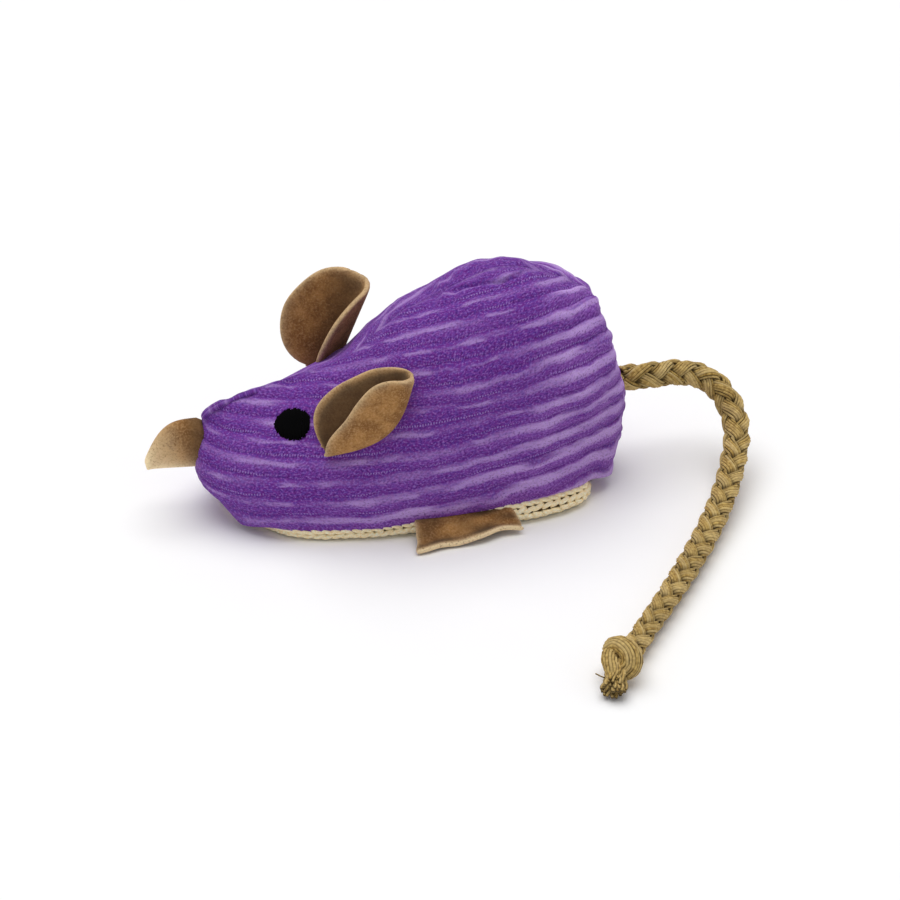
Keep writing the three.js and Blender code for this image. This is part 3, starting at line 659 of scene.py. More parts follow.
def cover(name, side, seed):
    """One side of the body: the surface, moved in by the grooves between the ribs and by the seams, with
    puckers along the seams. The ribs are fullest over the rump, where the cloth is drawn tight. The lower
    edge stands out over the base, hangs down under the chin and at the rear, and is rolled under to the
    seam. The left side has one crease beside the seam on top, a groove along a bent line."""
    level = np.linspace(1, 0, COVER_ROWS)[:, None]
    along = np.linspace(0, 1, COVER_COLUMNS)[None, :]
    base = cover_surface(along, level, side)
    climb, reach = lengths(base, 0), lengths(base, 1)
    seam_gap = np.minimum(climb[-1:] - climb, np.minimum(reach, reach[:, -1:] - reach))
    normal = unit(np.cross(np.gradient(base, axis=1), np.gradient(base, axis=0))) * -side

    def uneven(wide, tall, step):
        return ripple(reach / wide, climb / tall, seed + step)

    wander = 0.3 * uneven(30, 16, 0) + 0.14 * uneven(7, 7, 5)
    wale = (climb + wander - RIB_RISE * eased(along, 0.4, 1)) / WALE
    rump = eased(along + 0.1 * level, 0.62, 0.82)
    hem = eased(level, 0.62, 0.9) * eased(along, 0.2, 0.5)
    face = 1 - eased(along, 0.18, 0.4)
    patchy = mixed(0.22, 0.35, eased(along, 0.45, 0.75)) * uneven(22, 7, 4)
    # Painted sheen: a patchy value, strongest over the rump and less at the hem and the face, that mixes in
    # the paler rib colours.
    painted_sheen = np.clip(0.08 + rump + 0.5 * hem + 0.08 * face + patchy, 0, 1)
    relief = WALE_RELIEF * mixed(0.3, 1, np.clip(rump + 0.5 * hem + 0.3 * face, 0, 1))
    relief = relief * (1 + 0.2 * uneven(9, 5, 1))

    at_seam = np.exp(-(seam_gap / SEAM_REACH) ** 2)
    back = eased(along, 0.34, 0.56)
    height = relief * (wale_height(wale) - WALE_LEVEL) * (1 - at_seam) - SEAM_SINK * back * at_seam
    pucker = np.exp(-seam_gap / 5) * (1 - np.exp(-seam_gap / 0.8)) * mixed(0.25, 1, back)
    height = height + PUCKER_HEIGHT * pucker * ripple(reach / 5, seam_gap / 6, PUCKER_SEED)
    height = height + LUMP_HEIGHT * uneven(15, 15, 3) * (1 - np.exp(-seam_gap / 3))
    to_crease = (level - through(CREASE_LINE, along)) * climb[-1:]
    crease = np.exp(-(to_crease / CREASE_WIDTH) ** 2)
    crease = crease * eased(along, 0.53, 0.57) * (1 - eased(along, 0.64, 0.675))
    height = height - CREASE_DEPTH * (side < 0) * crease
    height = mixed(height, 0.12 * uneven(4, 4, 6) - HEM_SINK, np.exp(-(climb / 1.2) ** 2))
    points = base + normal * height[..., None]

    low = eased(level, 0.8, 0.96)
    drop = np.maximum(through(HEM_DROP, along), 0) * low
    points[..., 2] = np.maximum(points[..., 2] - drop, HEM_LOWEST)
    points[..., 1] += side * HEM_OUT * np.sin(np.pi * along) * eased(level, 0.8, 0.95)
    points[..., 0] += FRONT_DRAW * (1 - eased(along, 0.05, 0.24)) * low
    points[..., 0] -= REAR_DRAW * eased(along, 0.72, 0.96) * mixed(1, 0.35, eased(level, 0.2, 0.55))
    points[..., 0] -= REAR_TURN_IN * eased(along, 0.84, 0.98) * eased(level, 0.8, 0.97)
    seam = np.stack([*plan(along, side, base_tuck(along)), through(BASE_LINE, along) - SEAM_GAP], -1)
    points = mixed(points, seam, eased(level, 0.95, 1)[..., None])
    points[..., 1] = side * np.maximum(side * points[..., 1], 0.02)

    faces = quads(np.arange(COVER_ROWS * COVER_COLUMNS).reshape(COVER_ROWS, COVER_COLUMNS))
    uv = np.stack([reach / WALE, wale], -1)
    values = {"painted_sheen": painted_sheen, "seam": np.exp(-seam_gap / 1.2)}
    made = piece(name, points, faces if side > 0 else faces[:, ::-1], (), uv, values)
    wall = made.modifiers.new("cloth_thickness", "SOLIDIFY")
    wall.thickness = CLOTH_THICKNESS * METRE
    wall.offset = -1
    return made


# %% [markdown]
# The cloth's pile is a deep purple. A painted sheen turns it lavender in patches, most over the rump. On
# each rib the upper part gets a painted highlight, smooth and pale, and the lower part and the groove get
# painted shade, which also makes the pile's dark speckle heavier low on the rib. The groove shows the ground
# weave as a row of tiny pale stitches.

# %% Corduroy finish
# Both rib ramps paint light and shade by the place on the rib: a painted highlight on the upper part and
# painted shade toward the groove. The sheen ramp is the stronger of the two.
SHEEN_RIB = [
    (0.0, (114, 54, 150)), (0.14, (122, 62, 158)), (0.42, (144, 88, 180)), (0.56, (196, 158, 224)),
    (0.82, (208, 174, 234)), (0.93, (158, 106, 194)), (1.0, (114, 54, 150)),
]
PLAIN_RIB = [(0.0, (94, 36, 132)), (0.3, (105, 45, 146)), (0.75, (116, 56, 155)), (1.0, (94, 36, 132))]
PILE_FLECKS = (122, 38, 140), (88, 62, 162)
PILE_SPECK_AND_SHADE, PILE_BRIGHT = (62, 22, 100), (164, 122, 204)
CREST_HIGHLIGHT, STITCH_PALE, SEAM_DARK = (182, 148, 212), (178, 152, 218), (78, 36, 114)
CREST_PLACE, STITCH_PLACE, STITCHES_TO_A_WALE = 0.68, 0.1, 7.2


def corduroy_finish():
    """Colour by the place on the rib, with a painted highlight on its upper part and painted shade below it
    and in the groove, a painted sheen in patches, speckled pile, pale dots in the groove, and a soft sheen
    from the shader.
    """
    made = Finish("purple_corduroy", 0.9, sheen=0.2, sheen_tint=(214, 186, 240), sheen_roughness=0.45)
    cloth = made.node("SeparateXYZ", {0: made.cloth_place()}).outputs
    phase = made.math("FRACT", cloth["Y"])
    pile = made.cloth_noise(8, 11, 3, 0.65)
    streak = made.cloth_noise(1.1, 6, 4, 0.6)
    shifted = made.math("ADD", phase, made.times(made.math("SUBTRACT", streak, 0.5), 0.42))
    flecks = made.mix(made.levels(made.cloth_noise(5, 8), 0.4, 0.62), *PILE_FLECKS)
    plain = made.mix(0.4, made.ramp(shifted, PLAIN_RIB), flecks)
    banded = made.mix(0.14, made.ramp(shifted, SHEEN_RIB), flecks)
    lane = made.levels(made.cloth_noise(0.3, 1.6), 0.28, 0.56)
    shade = made.mix(made.times(made.value("painted_sheen"), lane), plain, banded)
    # Painted highlight: broken pale streaks just above the crest of each rib.
    crest_glint_patches = made.levels(made.cloth_noise(0.6, 1.3, 3), 0.43, 0.62)
    shade = made.tint(shade, made.times(made.near(shifted, CREST_PLACE, 0.16, 0.03), crest_glint_patches), 0.7, CREST_HIGHLIGHT)
    # The pile's dark speckle, made heavier on the lower part of each rib as painted shade.
    low_side_shade = made.math("ADD", made.times(made.levels(shifted, 0.85, 0.45), 0.36), 0.28)
    shade = made.mix(made.times(made.levels(pile, 0.5, 0.62), low_side_shade), shade, PILE_SPECK_AND_SHADE)
    shade = made.tint(shade, made.levels(pile, 0.49, 0.35), 0.6, PILE_BRIGHT)
    beat = made.math("SINE", made.times(cloth["X"], 2 * np.pi * STITCHES_TO_A_WALE))
    dots = made.times(made.levels(beat, 0.1, 0.8), made.near(phase, STITCH_PLACE, 0.07, 0.02))
    patches = made.levels(made.cloth_noise(0.35, 1.1), 0.44, 0.62)
    shade = made.tint(shade, made.times(dots, patches), 0.6, STITCH_PALE)
    shade = made.tint(shade, made.value("seam"), 0.3, SEAM_DARK)
    return made.done(shade, pile, 0.6, 0.2)


corduroy = corduroy_finish()
for name, side, seed in (("left", -1, 21), ("right", 1, 41)):
    half = cover(f"ribbed_cover_{name}", side, seed)
    dress(half, "mouse_body", "ribbed_cloth", corduroy, f"cover_{name}")

# %% [markdown]
# ## The knitted base
#
# The base is a chunky straw knit. Seen up close, a knit is columns of chain, and each link of the chain is
# two leaf-shaped loops that lean together. A thin pan gives the base its form, and small bowed tubes, thick
# in the middle, are set on it in pairs: chains run round the wall and straight along the underside. The pan
# is coloured dark brown, painted shade that shows between the loops.

# %% The base's form
BASE_EDGE_ROUND = 4
BASE_SWELL = [(0, 0), (0.2, 0), (0.35, 0.1), (0.5, 0.6), (0.68, 2.3), (0.84, 0.3), (0.92, 0), (1, 0)]
WALL_STEP, CURL_STEP = 0.002, 0.02


def round_base(share):
    """Place along a side, and that side, for a share of the way round from the front by the left side."""
    return np.where(share <= 0.5, 2 * share, 2 - 2 * share), np.where(share <= 0.5, -1.0, 1.0)


def base_wall(share, curl):
    """Point of the base's wall. share runs once round, and curl from the seam, 0, to the floor, 1, along a
    quarter of a rounded edge that swells past the seam."""
    along, side = round_base(np.asarray(share) % 1)
    bend = curl * np.pi / 2
    swell = through(BASE_SWELL, along) * np.sin(2 * bend)
    x, y = plan(along, side, BASE_EDGE_ROUND * (1 - np.cos(bend)) - swell + base_tuck(along))
    return np.stack([x, y, (through(BASE_LINE, along) - SEAM_GAP) * (1 - np.sin(bend))], -1)


def wall_frame(share, curl):
    """Point of the wall with the directions round it, down it and out of it."""
    point = base_wall(share, curl)
    ahead = unit(base_wall(share + WALL_STEP, curl) - base_wall(share - WALL_STEP, curl))
    down = unit(base_wall(share, curl + CURL_STEP) - base_wall(share, curl - CURL_STEP))
    out = unit(np.cross(ahead, down))
    return point, ahead, down, out * np.sign((out * (point - 20 * UP)).sum(-1, keepdims=True))


# %% Knit
STITCH_LENGTH, CHAIN_WIDTH = 2.0, 2.5
LOOP_RADIUS, LOOP_SLIP, LOOP_BOW, LOOP_SINK = 0.55, 0.07, 0.24, 0.12
LOOP_LEAF = np.array([0.5, 0.86, 1, 1, 0.86, 0.5])
CHAIN_ROWS, CHAIN_SINK = (0.11, 0.52, 0.93), 0.3
FLOOR_ROUND, FLOOR_LEVEL = 2 / PLAN_POWER, 0.72


def loops(centre, ahead, across, out, seed):
    """Leaf-shaped loops in pairs on the links of a chain: each runs a little past its link and leans to the
    chain's middle, bows outward and is thickest in its middle."""
    t = np.linspace(-1, 1, len(LOOP_LEAF))
    lean = np.array([-1, 1])[:, None, None]
    slip = np.random.default_rng(seed).normal(0, LOOP_SLIP, (3, 2, len(centre), 1))
    run = 0.72 * t * STITCH_LENGTH + slip[0]
    aside = lean * (CHAIN_WIDTH * mixed(0.44, 0.08, (t + 1) / 2) + slip[1])
    lift = LOOP_BOW * (1 - t * t) - LOOP_SINK + 0.6 * slip[2]
    path = centre[:, None] + run[..., None] * ahead[:, None] + aside[..., None] * across[:, None]
    path = path + lift[..., None] * out[:, None]
    outs = np.broadcast_to(out[:, None], path.shape)
    return path.reshape(-1, len(t), 3), outs.reshape(-1, len(t), 3)


def wall_chain(curl, seed):
    """One chain round the wall, its links evenly spaced along it."""
    fine = np.linspace(0, 1, 900)
    run = lengths(base_wall(fine, curl), 0)
    share = np.interp(np.arange(0.5, run[-1] / STITCH_LENGTH) * STITCH_LENGTH, run, fine)
    point, ahead, down, out = wall_frame(share, curl)
    return loops(point - CHAIN_SINK * out, ahead, down, out, seed)


def floor_chains(seed):
    """Chains along the underside, where they lie inside the outline."""
    x, y = np.meshgrid(np.arange(-23, 24) * STITCH_LENGTH, np.arange(-8, 9) * CHAIN_WIDTH)
    far = BODY_LENGTH / 2 - BASE_EDGE_ROUND + np.where(x < 0, end_swell(0, 1) - FRONT_TUCK, -REAR_TUCK)
    wide = BODY_WIDTH / 2 - BASE_EDGE_ROUND
    inside = (np.abs(x) / far) ** FLOOR_ROUND + (np.abs(y) / wide) ** FLOOR_ROUND < 1
    centre = np.stack([x, y, np.full_like(x, FLOOR_LEVEL)], -1)[inside]
    ahead, across, out = np.broadcast_to(np.diag([1.0, 1, -1])[:, None], (3, *centre.shape))
    return loops(centre, ahead, across, out, seed)


chains = [wall_chain(curl, 51 + row) for row, curl in enumerate(CHAIN_ROWS)] + [floor_chains(61)]
knit_paths, knit_outs = (np.concatenate(part) for part in zip(*chains))
points, faces, caps, number, along = tubes(knit_paths, LOOP_RADIUS * LOOP_LEAF, 6, knit_outs)
points[:, 2] = np.maximum(points[:, 2], 0.02)
tone = np.random.default_rng(71).uniform(0, 1, len(knit_paths))[number]
knit_loops = piece("knit_loops", points, faces, caps, np.stack([along, number * 2.3], 1), {"tone": tone})

# %% The pan under the knit
PAN_DEPTH, PAN_LIP, PAN_THICKNESS = 0.85, 2.2, 0.7
PAN_ROWS, PAN_COLUMNS = 14, 160
share = np.linspace(0, 1, PAN_COLUMNS, endpoint=False)[None, :]
wall, _, _, out = wall_frame(share, np.linspace(0, 1, PAN_ROWS)[:, None])
wall = wall - PAN_DEPTH * out
wall[..., 2] = np.maximum(wall[..., 2], PAN_DEPTH)
lip = wall[:1] * [0.94, 0.92, 1] + PAN_LIP * UP
floor_rings = wall[-1:] * np.linspace([1, 1, 1], [0, 0, 1], 6)[1:, None]
pan_points = np.concatenate([lip, wall, floor_rings])
pan_ids = np.arange(pan_points.shape[0] * PAN_COLUMNS).reshape(-1, PAN_COLUMNS)
pan_faces, _ = turned_out(pan_points - 6 * UP, ring_quads(pan_ids))
base_pan = piece("knit_pan", pan_points, pan_faces)
pan_wall = base_pan.modifiers.new("knit_thickness", "SOLIDIFY")
pan_wall.thickness = PAN_THICKNESS * METRE


# %% Knit finish
def knit_finish(name, pale, dark):
    """Straw yarn: fine specks, wider patches, and a tone of its own for each loop."""
    made = Finish(name, 0.8, sheen=0.25, sheen_tint=(250, 236, 200))
    speck = made.noise(2200, 3)
    shade = made.mix(made.levels(speck, 0.35, 0.68), dark, pale)
    shade = made.tint(shade, made.levels(made.noise(300), 0.5, 0.75), 0.3, dark)
    shade = made.tint(shade, made.value("tone"), 0.3, dark)
    return made.done(shade, speck, 0.5, 0.15)


straw = knit_finish("straw_knit", (255, 253, 226), (255, 230, 180))
dress(knit_loops, "mouse_body", "knit", straw, "base_panel")
# The pan is painted dark: it stands for the shade seen between the loops.
straw_gap_shade = knit_finish("straw_knit_gap_shade", (168, 134, 84), (112, 82, 44))
dress(base_pan, "mouse_body", "knit", straw_gap_shade)

# %% [markdown]
# ## Suede ears, feet and nose
#
# Each is cut from soft brown suede. The nap is mottled, paler where it is rubbed, and the raw cut edge
# shows the pale inside of the hide. A sheet is made from its two faces: the same formula on both sides of
# the middle, with the thickness running out to nothing at the edge so the rim is closed and rounded.

# %% Suede finish
SUEDE_BROWNS = (128, 86, 44), (174, 127, 74)
SUEDE_RUBBED, SUEDE_SPECK = (198, 156, 108), (92, 62, 36)
SUEDE_PAINTED_SHADE, SUEDE_EDGE = (68, 50, 36), (252, 228, 184)


def suede_finish():
    """Mottled nap over two browns, painted shade inside a fold and at a root, pale along the cut edge and in
    rubbed flecks, and a painted highlight on the nose carried with the edge value.
    """
    made = Finish("brown_suede", 0.95, sheen=0.12, sheen_tint=(236, 200, 150), sheen_roughness=0.6)
    grain = made.noise(2300, 3, 0.7)
    shade = made.mix(made.levels(made.noise(240, 4, 0.6), 0.34, 0.68), *SUEDE_BROWNS)
    shade = made.tint(shade, made.levels(grain, 0.47, 0.66), 0.5, SUEDE_RUBBED)
    shade = made.tint(shade, made.levels(grain, 0.48, 0.3), 0.4, SUEDE_SPECK)
    shade = made.tint(shade, made.value("shaded"), 0.9, SUEDE_PAINTED_SHADE)
    pale = made.times(made.value("edge"), made.levels(grain, 0.2, 0.5))
    return made.done(made.tint(shade, pale, 0.9, SUEDE_EDGE), grain, 0.7, 0.2)


suede = suede_finish()
RIM = np.array([0.955, 0.978, 0.992, 1.0])


def rim_spaced(count):
    """Places from -1 to 1, even in the middle and close together near both ends, where a rim is rounded."""
    return np.concatenate([-RIM[::-1], np.linspace(-0.925, 0.925, count), RIM])


def rim_thickness(to_rim, round_length):
    """Share of the full thickness at a distance from the rim: a quarter circle over round_length."""
    back = 1 - np.clip(to_rim / round_length, 0, 1)
    return np.sqrt(np.maximum(1 - back ** 2, 0))


def suede_sheet(name, middle, thick, across, edge, shaded):
    """Closed sheet: a grid of points moved by thick to either side, along or against across, with a shared
    border. edge and shaded are given for the front and the back face."""
    offset = thick[..., None] * across
    rows, columns = middle.shape[:2]
    front_ids = np.arange(rows * columns).reshape(rows, columns)
    back_ids = front_ids.copy()
    inner = (rows - 2, columns - 2)
    back_ids[1:-1, 1:-1] = rows * columns + np.arange(inner[0] * inner[1]).reshape(inner)
    faces = np.concatenate([quads(front_ids), quads(back_ids)[:, ::-1]])

    def both(front, back):
        back = back[1:-1, 1:-1]
        return np.concatenate([front.reshape(rows * columns, -1), back.reshape(inner[0] * inner[1], -1)])

    points = both(middle + offset, middle - offset)
    values = {"edge": both(*np.broadcast_arrays(*edge)), "shaded": both(*np.broadcast_arrays(*shaded))}
    return piece(name, points, turned_out(points, faces)[0], values=values)


# %% Ears
EAR_WIDTH, EAR_ENDS = 25, np.array([6, 3])
EAR_THICKNESS, EAR_RIM_ROUND, EAR_EDGE = 1.1, 0.7, 0.45
EAR_FOOT_FOLD, EAR_TOP_FOLD = 1.6, 4.5
EAR_ROOT, EAR_FIT = 0.4, 0.3
EAR_UNEVEN, EAR_SWAY = 0.015, 0.35


def ear(name, side, along, level, lean, tilt, turn, bow, tall, spread_start, inner, outer, dusk, seed):
    """A round of suede folded along its middle. Across each height the sheet runs round the fold's arc and
    then out along two flat halves. Each half has an opening angle, a width, a lift of its widest place, and
    the power of the round that its width follows: over 1 its ends are drawn out, under 1 they are blunt.
    The halves spread from spread_start below the foot. dusk is how dark the painted shade in the hollow is,
    by fold and rim."""
    lean, tilt, turn = np.radians([lean, tilt, turn])
    foot, normal, _, _ = cover_frame(along, level, side)
    foot = foot + EAR_FIT * normal
    up = unit(np.array([np.sin(lean), side * np.sin(tilt), np.cos(lean)]))
    inward = unit(np.array([0, -side, 0]) + side * up[1] * up)
    front = side * np.cross(inward, up) * np.cos(turn) + inward * np.sin(turn)
    across = np.cross(front, up)

    s = rim_spaced(54)[None, :]
    q = np.concatenate([[-EAR_ROOT, -0.6 * EAR_ROOT], np.linspace(0, 0.955, 44), RIM[1:]])[:, None]
    rise = np.maximum(q, 0)
    height = np.where(q < 0, q, tall * q)
    start, end = np.sqrt(1 - (EAR_ENDS / EAR_WIDTH) ** 2)
    sizes = np.where(s * side < 0, np.array(inner)[:, None, None], np.array(outer)[:, None, None])
    opening, width, lift, leaf = sizes
    narrowing = np.sqrt(1 - mixed(start, -end, rise) ** 2) ** leaf
    half = width * narrowing * (1 + lift * (2 * rise - 1))
    half = half * (1 + EAR_UNEVEN * ripple(s * 1.4, rise * 2.2, seed))
    radius = mixed(EAR_FOOT_FOLD, EAR_TOP_FOLD, rise)
    spread = eased(height, -spread_start, tall / 2)
    most = np.pi / 2 - np.radians(opening) * spread
    bend = np.minimum(np.abs(s) * half / radius, most)
    flat = np.abs(s) * half - bend * radius
    to_rim = np.minimum((1 - np.abs(s)) * half, tall * (1 - rise))
    thick = EAR_THICKNESS / 2 * rim_thickness(np.minimum(to_rim, height + EAR_ROOT), EAR_RIM_ROUND)
    sway = EAR_SWAY * ripple(s * 0.9 + 3, rise * 1.2, seed + 1) * np.abs(s) * rise

    wide = np.sign(s) * (radius * np.sin(bend) + flat * np.cos(bend))
    deep = radius - radius * np.cos(bend) + flat * np.sin(bend) - bow * np.sin(np.pi * rise) + sway
    middle = foot + height[..., None] * up + wide[..., None] * across + deep[..., None] * front
    facing_in = (-np.sign(s) * np.sin(bend))[..., None] * across + np.cos(bend)[..., None] * front
    edge = EAR_EDGE * np.exp(-to_rim / 0.8)
    # Painted shade in the hollow, set by dusk near the fold and further out and fading away at the rim. The
    # back gets a little painted shade at the ear's foot.
    hollow = mixed(*dusk, eased(np.abs(s) * half, 1, 8)) * eased(to_rim, 0.3, 2)
    back_dark = 0.1 * (1 - eased(height, -1, 6))
    return suede_sheet(name, middle, thick, facing_in, (edge, edge), (hollow, back_dark))


ear_left = ear(
    "suede_ear_left", -1, along=0.376, level=0.546, lean=45, tilt=5, turn=12, bow=5, tall=24.5,
    spread_start=4, inner=(24, 14.2, -0.19, 1.28), outer=(13, 11.6, 0.3, 1.28), dusk=(1, 0.9), seed=81)
ear_right = ear(
    "suede_ear_right", 1, along=0.423, level=0.563, lean=17, tilt=-1, turn=46, bow=0, tall=22.8,
    spread_start=14, inner=(0, 13.4, -0.06, 0.95), outer=(64, 12.6, -0.12, 0.7), dusk=(0.75, 0.02), seed=91)
dress(ear_left, "ear_left", "suede", suede, "ear_left")
dress(ear_right, "ear_right", "suede", suede, "ear_right")

# %% Feet
FOOT_WIDTH, FOOT_THICKNESS, FOOT_RIM_ROUND = 20.6, 1.2, 0.55
FOOT_FLARE, FOOT_REACH = (-1, 1.6), (7.5, 4.5)
FOOT_ALONG, FOOT_ROOT = 0.532, 0.2
FOOT_WAVE, FOOT_UNEVEN = 0.55, (0.35, 0.25)
FLOOR_CLEARANCE = 0.2


def suede_foot(name, side, seed):
    """A flap that leaves the base seam level, eases down to the floor, and is longer at its front corner.
    Its free edge waves up and down a little, as cut suede does."""
    before, middle, after = (
        np.array(plan(FOOT_ALONG + step, side, 0)) for step in (-SLOPE_STEP, 0, SLOPE_STEP))
    ahead = unit(after - before)
    out = np.array([-side * ahead[1], side * ahead[0]])
    seam = through(BASE_LINE, FOOT_ALONG) - SEAM_GAP / 2
    rest = FLOOR_CLEARANCE + FOOT_THICKNESS / 2
    s = (rim_spaced(44)[None, :] + 1) / 2
    share = np.concatenate([[-FOOT_ROOT, -FOOT_ROOT / 2], np.linspace(0, 0.93, 22), RIM])[:, None]
    free = np.maximum(share, 0)
    reach = mixed(*FOOT_REACH, s) * share + FOOT_UNEVEN[0] * free * ripple(s * 2.4, 0, seed)
    width = (s - 0.5) * FOOT_WIDTH + mixed(*FOOT_FLARE, s) * free
    width = width + FOOT_UNEVEN[1] * ripple(share * 2, s * 0 + 3, seed + 1) * free
    wave = FOOT_WAVE * free ** 2 * (1 + ripple(s * 1.7, share * 0.6, seed + 2))
    drop = mixed(seam, rest, eased(free, 0, 1)) + np.maximum(wave, 0) * (0.4 + 0.6 * s)
    xy = middle + width[..., None] * ahead + reach[..., None] * out
    to_end = (1 - share) * mixed(*FOOT_REACH, s)
    to_rim = np.minimum(np.minimum(s, 1 - s) * FOOT_WIDTH, to_end)
    to_root = (share + FOOT_ROOT) * 6
    thick = FOOT_THICKNESS / 2 * rim_thickness(np.minimum(to_rim, to_root), FOOT_RIM_ROUND)
    edge = np.clip(1.7 * np.exp(-np.minimum(to_end, to_rim + 0.3) / 0.32), 0, 1)
    dark = 0.3 + 0.6 * np.exp(-((to_end - 1.1) / 0.45) ** 2) + 0.3 * ripple(s * 3, share * 1.5, seed + 3)
    grid = np.concatenate([xy, drop[..., None]], -1)
    return suede_sheet(name, grid, thick, UP, (edge, edge), (np.clip(dark * (1 - edge), 0, 1), 0.3))


for name, side, seed in (("left", -1, 101), ("right", 1, 111)):
    made = suede_foot(f"suede_foot_{name}", side, seed)
    dress(made, f"foot_{name}", "suede", suede, f"foot_{name}")

# %% Nose
NOSE_LENGTH, NOSE_TOP, NOSE_LOW, NOSE_TIP = 10.2, 21.7, 11.1, 12.3
NOSE_HALF, NOSE_FALL, NOSE_FOLD = (2.5, 0.95), 3.4, 0.6
NOSE_ROOT, NOSE_THICKNESS = 2.4, 1
NOSE_X = cover_surface(0, 0.5, -1)[0]


def suede_nose():
    """A leaf folded over its top edge. Along its length the top falls ever steeper to the tip and the open
    lower edge stays nearly level. Across, the fold swells at half height and its edges close below."""
    s = rim_spaced(46)[None, :]
    t = np.concatenate([[-NOSE_ROOT / NOSE_LENGTH, -0.05], np.linspace(0, 0.94, 34), RIM])[:, None]
    out = np.maximum(t, 0)
    top = NOSE_TIP + (NOSE_TOP - NOSE_TIP) * (1 - out ** NOSE_FALL)
    low = mixed(NOSE_LOW, NOSE_TIP - 1.1, out)
    half = mixed(*NOSE_HALF, out)
    depth = np.abs(s)
    wide = half * np.sin(np.pi * (0.12 + 0.74 * depth)) ** 0.8 * np.minimum(depth * 4, 1) ** 0.7
    tall = top - NOSE_FOLD - (top - low - NOSE_FOLD) * depth ** 1.25
    rim = np.minimum((1 - depth) * (top - low), (1 - out) * NOSE_LENGTH)
    thick = NOSE_THICKNESS / 2 * rim_thickness(rim, 0.6)
    grid = np.stack(np.broadcast_arrays(NOSE_X - NOSE_LENGTH * t, np.sign(s) * wide, tall), -1)
    normal = unit(np.cross(np.gradient(grid, axis=0), np.gradient(grid, axis=1)))
    # Painted shade at the root, where the nose goes under the head's cloth.
    dark = np.broadcast_to(0.75 * (1 - eased(t, -0.02, 0.36)), rim.shape)
    # Pale cut edge, plus a painted highlight that grows toward the tip and the lower edge.
    edge = np.exp(-rim / 0.9) + 0.6 * eased(out + 0.3 * depth, 0.2, 1.1)
    return suede_sheet("suede_nose", grid, thick, normal, (np.clip(edge, 0, 1), edge), (dark, dark))


nose = suede_nose()
dress(nose, None, "suede", suede, "nose")
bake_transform(nose)

# %% [markdown]
# ## Stitched eyes
#
# Each eye is satin stitch: close parallel threads of black, laid from edge to edge over a slight dome. The
# ends don't quite line up, which gives the eye its ragged edge.

# %% Eyes
EYE_ALONG, EYE_HEADING = 0.322, 1.75
EYE_RADIUS, EYE_POINT, EYE_POINT_POWER = 3.5, 1.12, 0.62
EYE_THREADS, EYE_THREAD_RADIUS = 38, 0.16
EYE_DOME, EYE_SINK = 0.75, 0.35
EYE_STEP = 1e-3


def eye(name, side, along, level, heading, seed):
    """Threads across a disc on the cover: each starts and ends in the cloth and rises over the dome between.
    The disc is drawn out to a point at its front."""
    _, _, rearward, upward = cover_frame(along, level, side)
    draw = np.random.default_rng(seed)
    lane = np.linspace(-0.97, EYE_POINT, EYE_THREADS)[:, None]
    front = (1 - np.clip(lane / EYE_POINT, 0, 1) ** 2) ** EYE_POINT_POWER
    reach = EYE_RADIUS * np.where(lane < 0, np.sqrt(1 - np.minimum(lane, 0) ** 2), front)
    lane = EYE_RADIUS * lane
    ends = reach * draw.uniform(0.92, 1.06, (2, EYE_THREADS, 1))
    ends = ends + draw.uniform(0, 0.3, (2, EYE_THREADS, 1))
    t = np.linspace(0, 1, 15)[None, :]
    run = mixed(-ends[0], ends[1], t)
    lane = lane + draw.normal(0, 0.03, lane.shape) + 0.05 * np.sin(4 * t + lane)
    a = run * np.cos(heading) - lane * np.sin(heading)
    b = run * np.sin(heading) + lane * np.cos(heading)
    rates = np.stack([rearward, upward]) @ np.stack(cover_rates(along, level, side, EYE_STEP), 1)
    shift = np.einsum("ij,jkl->ikl", np.linalg.inv(rates), np.stack([a, b]))
    point, out, _, _ = cover_frame(along + shift[0], level + shift[1], side)
    dome = EYE_DOME * (1 - (2 * t - 1) ** 6) * (1 - 0.35 * (lane / EYE_RADIUS) ** 2) - EYE_SINK
    points, faces, caps, number, run = tubes(point + out * dome[..., None], EYE_THREAD_RADIUS, 6, out)
    return piece(name, points, faces, caps, np.stack([run, number], 1))


def eye_finish():
    """Black thread with a faint twist along it."""
    made = Finish("black_satin_stitch", 0.8, shine=0.02)
    twist = made.cloth_noise(5, 1)
    return made.done(made.mix(twist, (3, 3, 3), (10, 10, 11)), twist, 0.4, 0.08)


eye_thread = eye_finish()
for name, side, level, seed in (("left", -1, 0.34, 121), ("right", 1, 0.5, 131)):
    made = eye(f"stitched_eye_{name}", side, EYE_ALONG, level, EYE_HEADING, seed)
    dress(made, "mouse_body", "eye_thread", eye_thread, f"eye_{name}")

# %% [markdown]
# ## What the cloth hides
#
# The stuffing, the catnip and the two threads lie inside the covers, and are made too, so the mouse is
# right when it is taken apart. The stuffing is the body's own form, smaller and lumpy. The catnip keeps
# its solid and gets a finish. A machine seam is a row of short stitches, so each thread is a tube that
# dips between them.

# %% Hidden finishes
def hidden_finish(name, pale, dark, scale):
    """Two tones by a fine noise, with the same noise as relief."""
    made = Finish(name, 0.95, sheen=0.2)
    fleck = made.noise(scale, 5, 0.7)
    return made.done(made.mix(made.levels(fleck, 0.3, 0.7), dark, pale), fleck, 0.8, 0.3)


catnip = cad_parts["catnip_fill"]
catnip.data.materials.clear()
catnip.data.materials.append(hidden_finish("crushed_catnip", (132, 138, 84), (74, 80, 44), 900))

# %% Stuffing
FIBRE_MIDDLE = np.array([0, 0, 14])
FIBRE_SHARE = np.array([0.88, 0.86, 0.86])
FIBRE_ROWS, FIBRE_COLUMNS = 60, 24


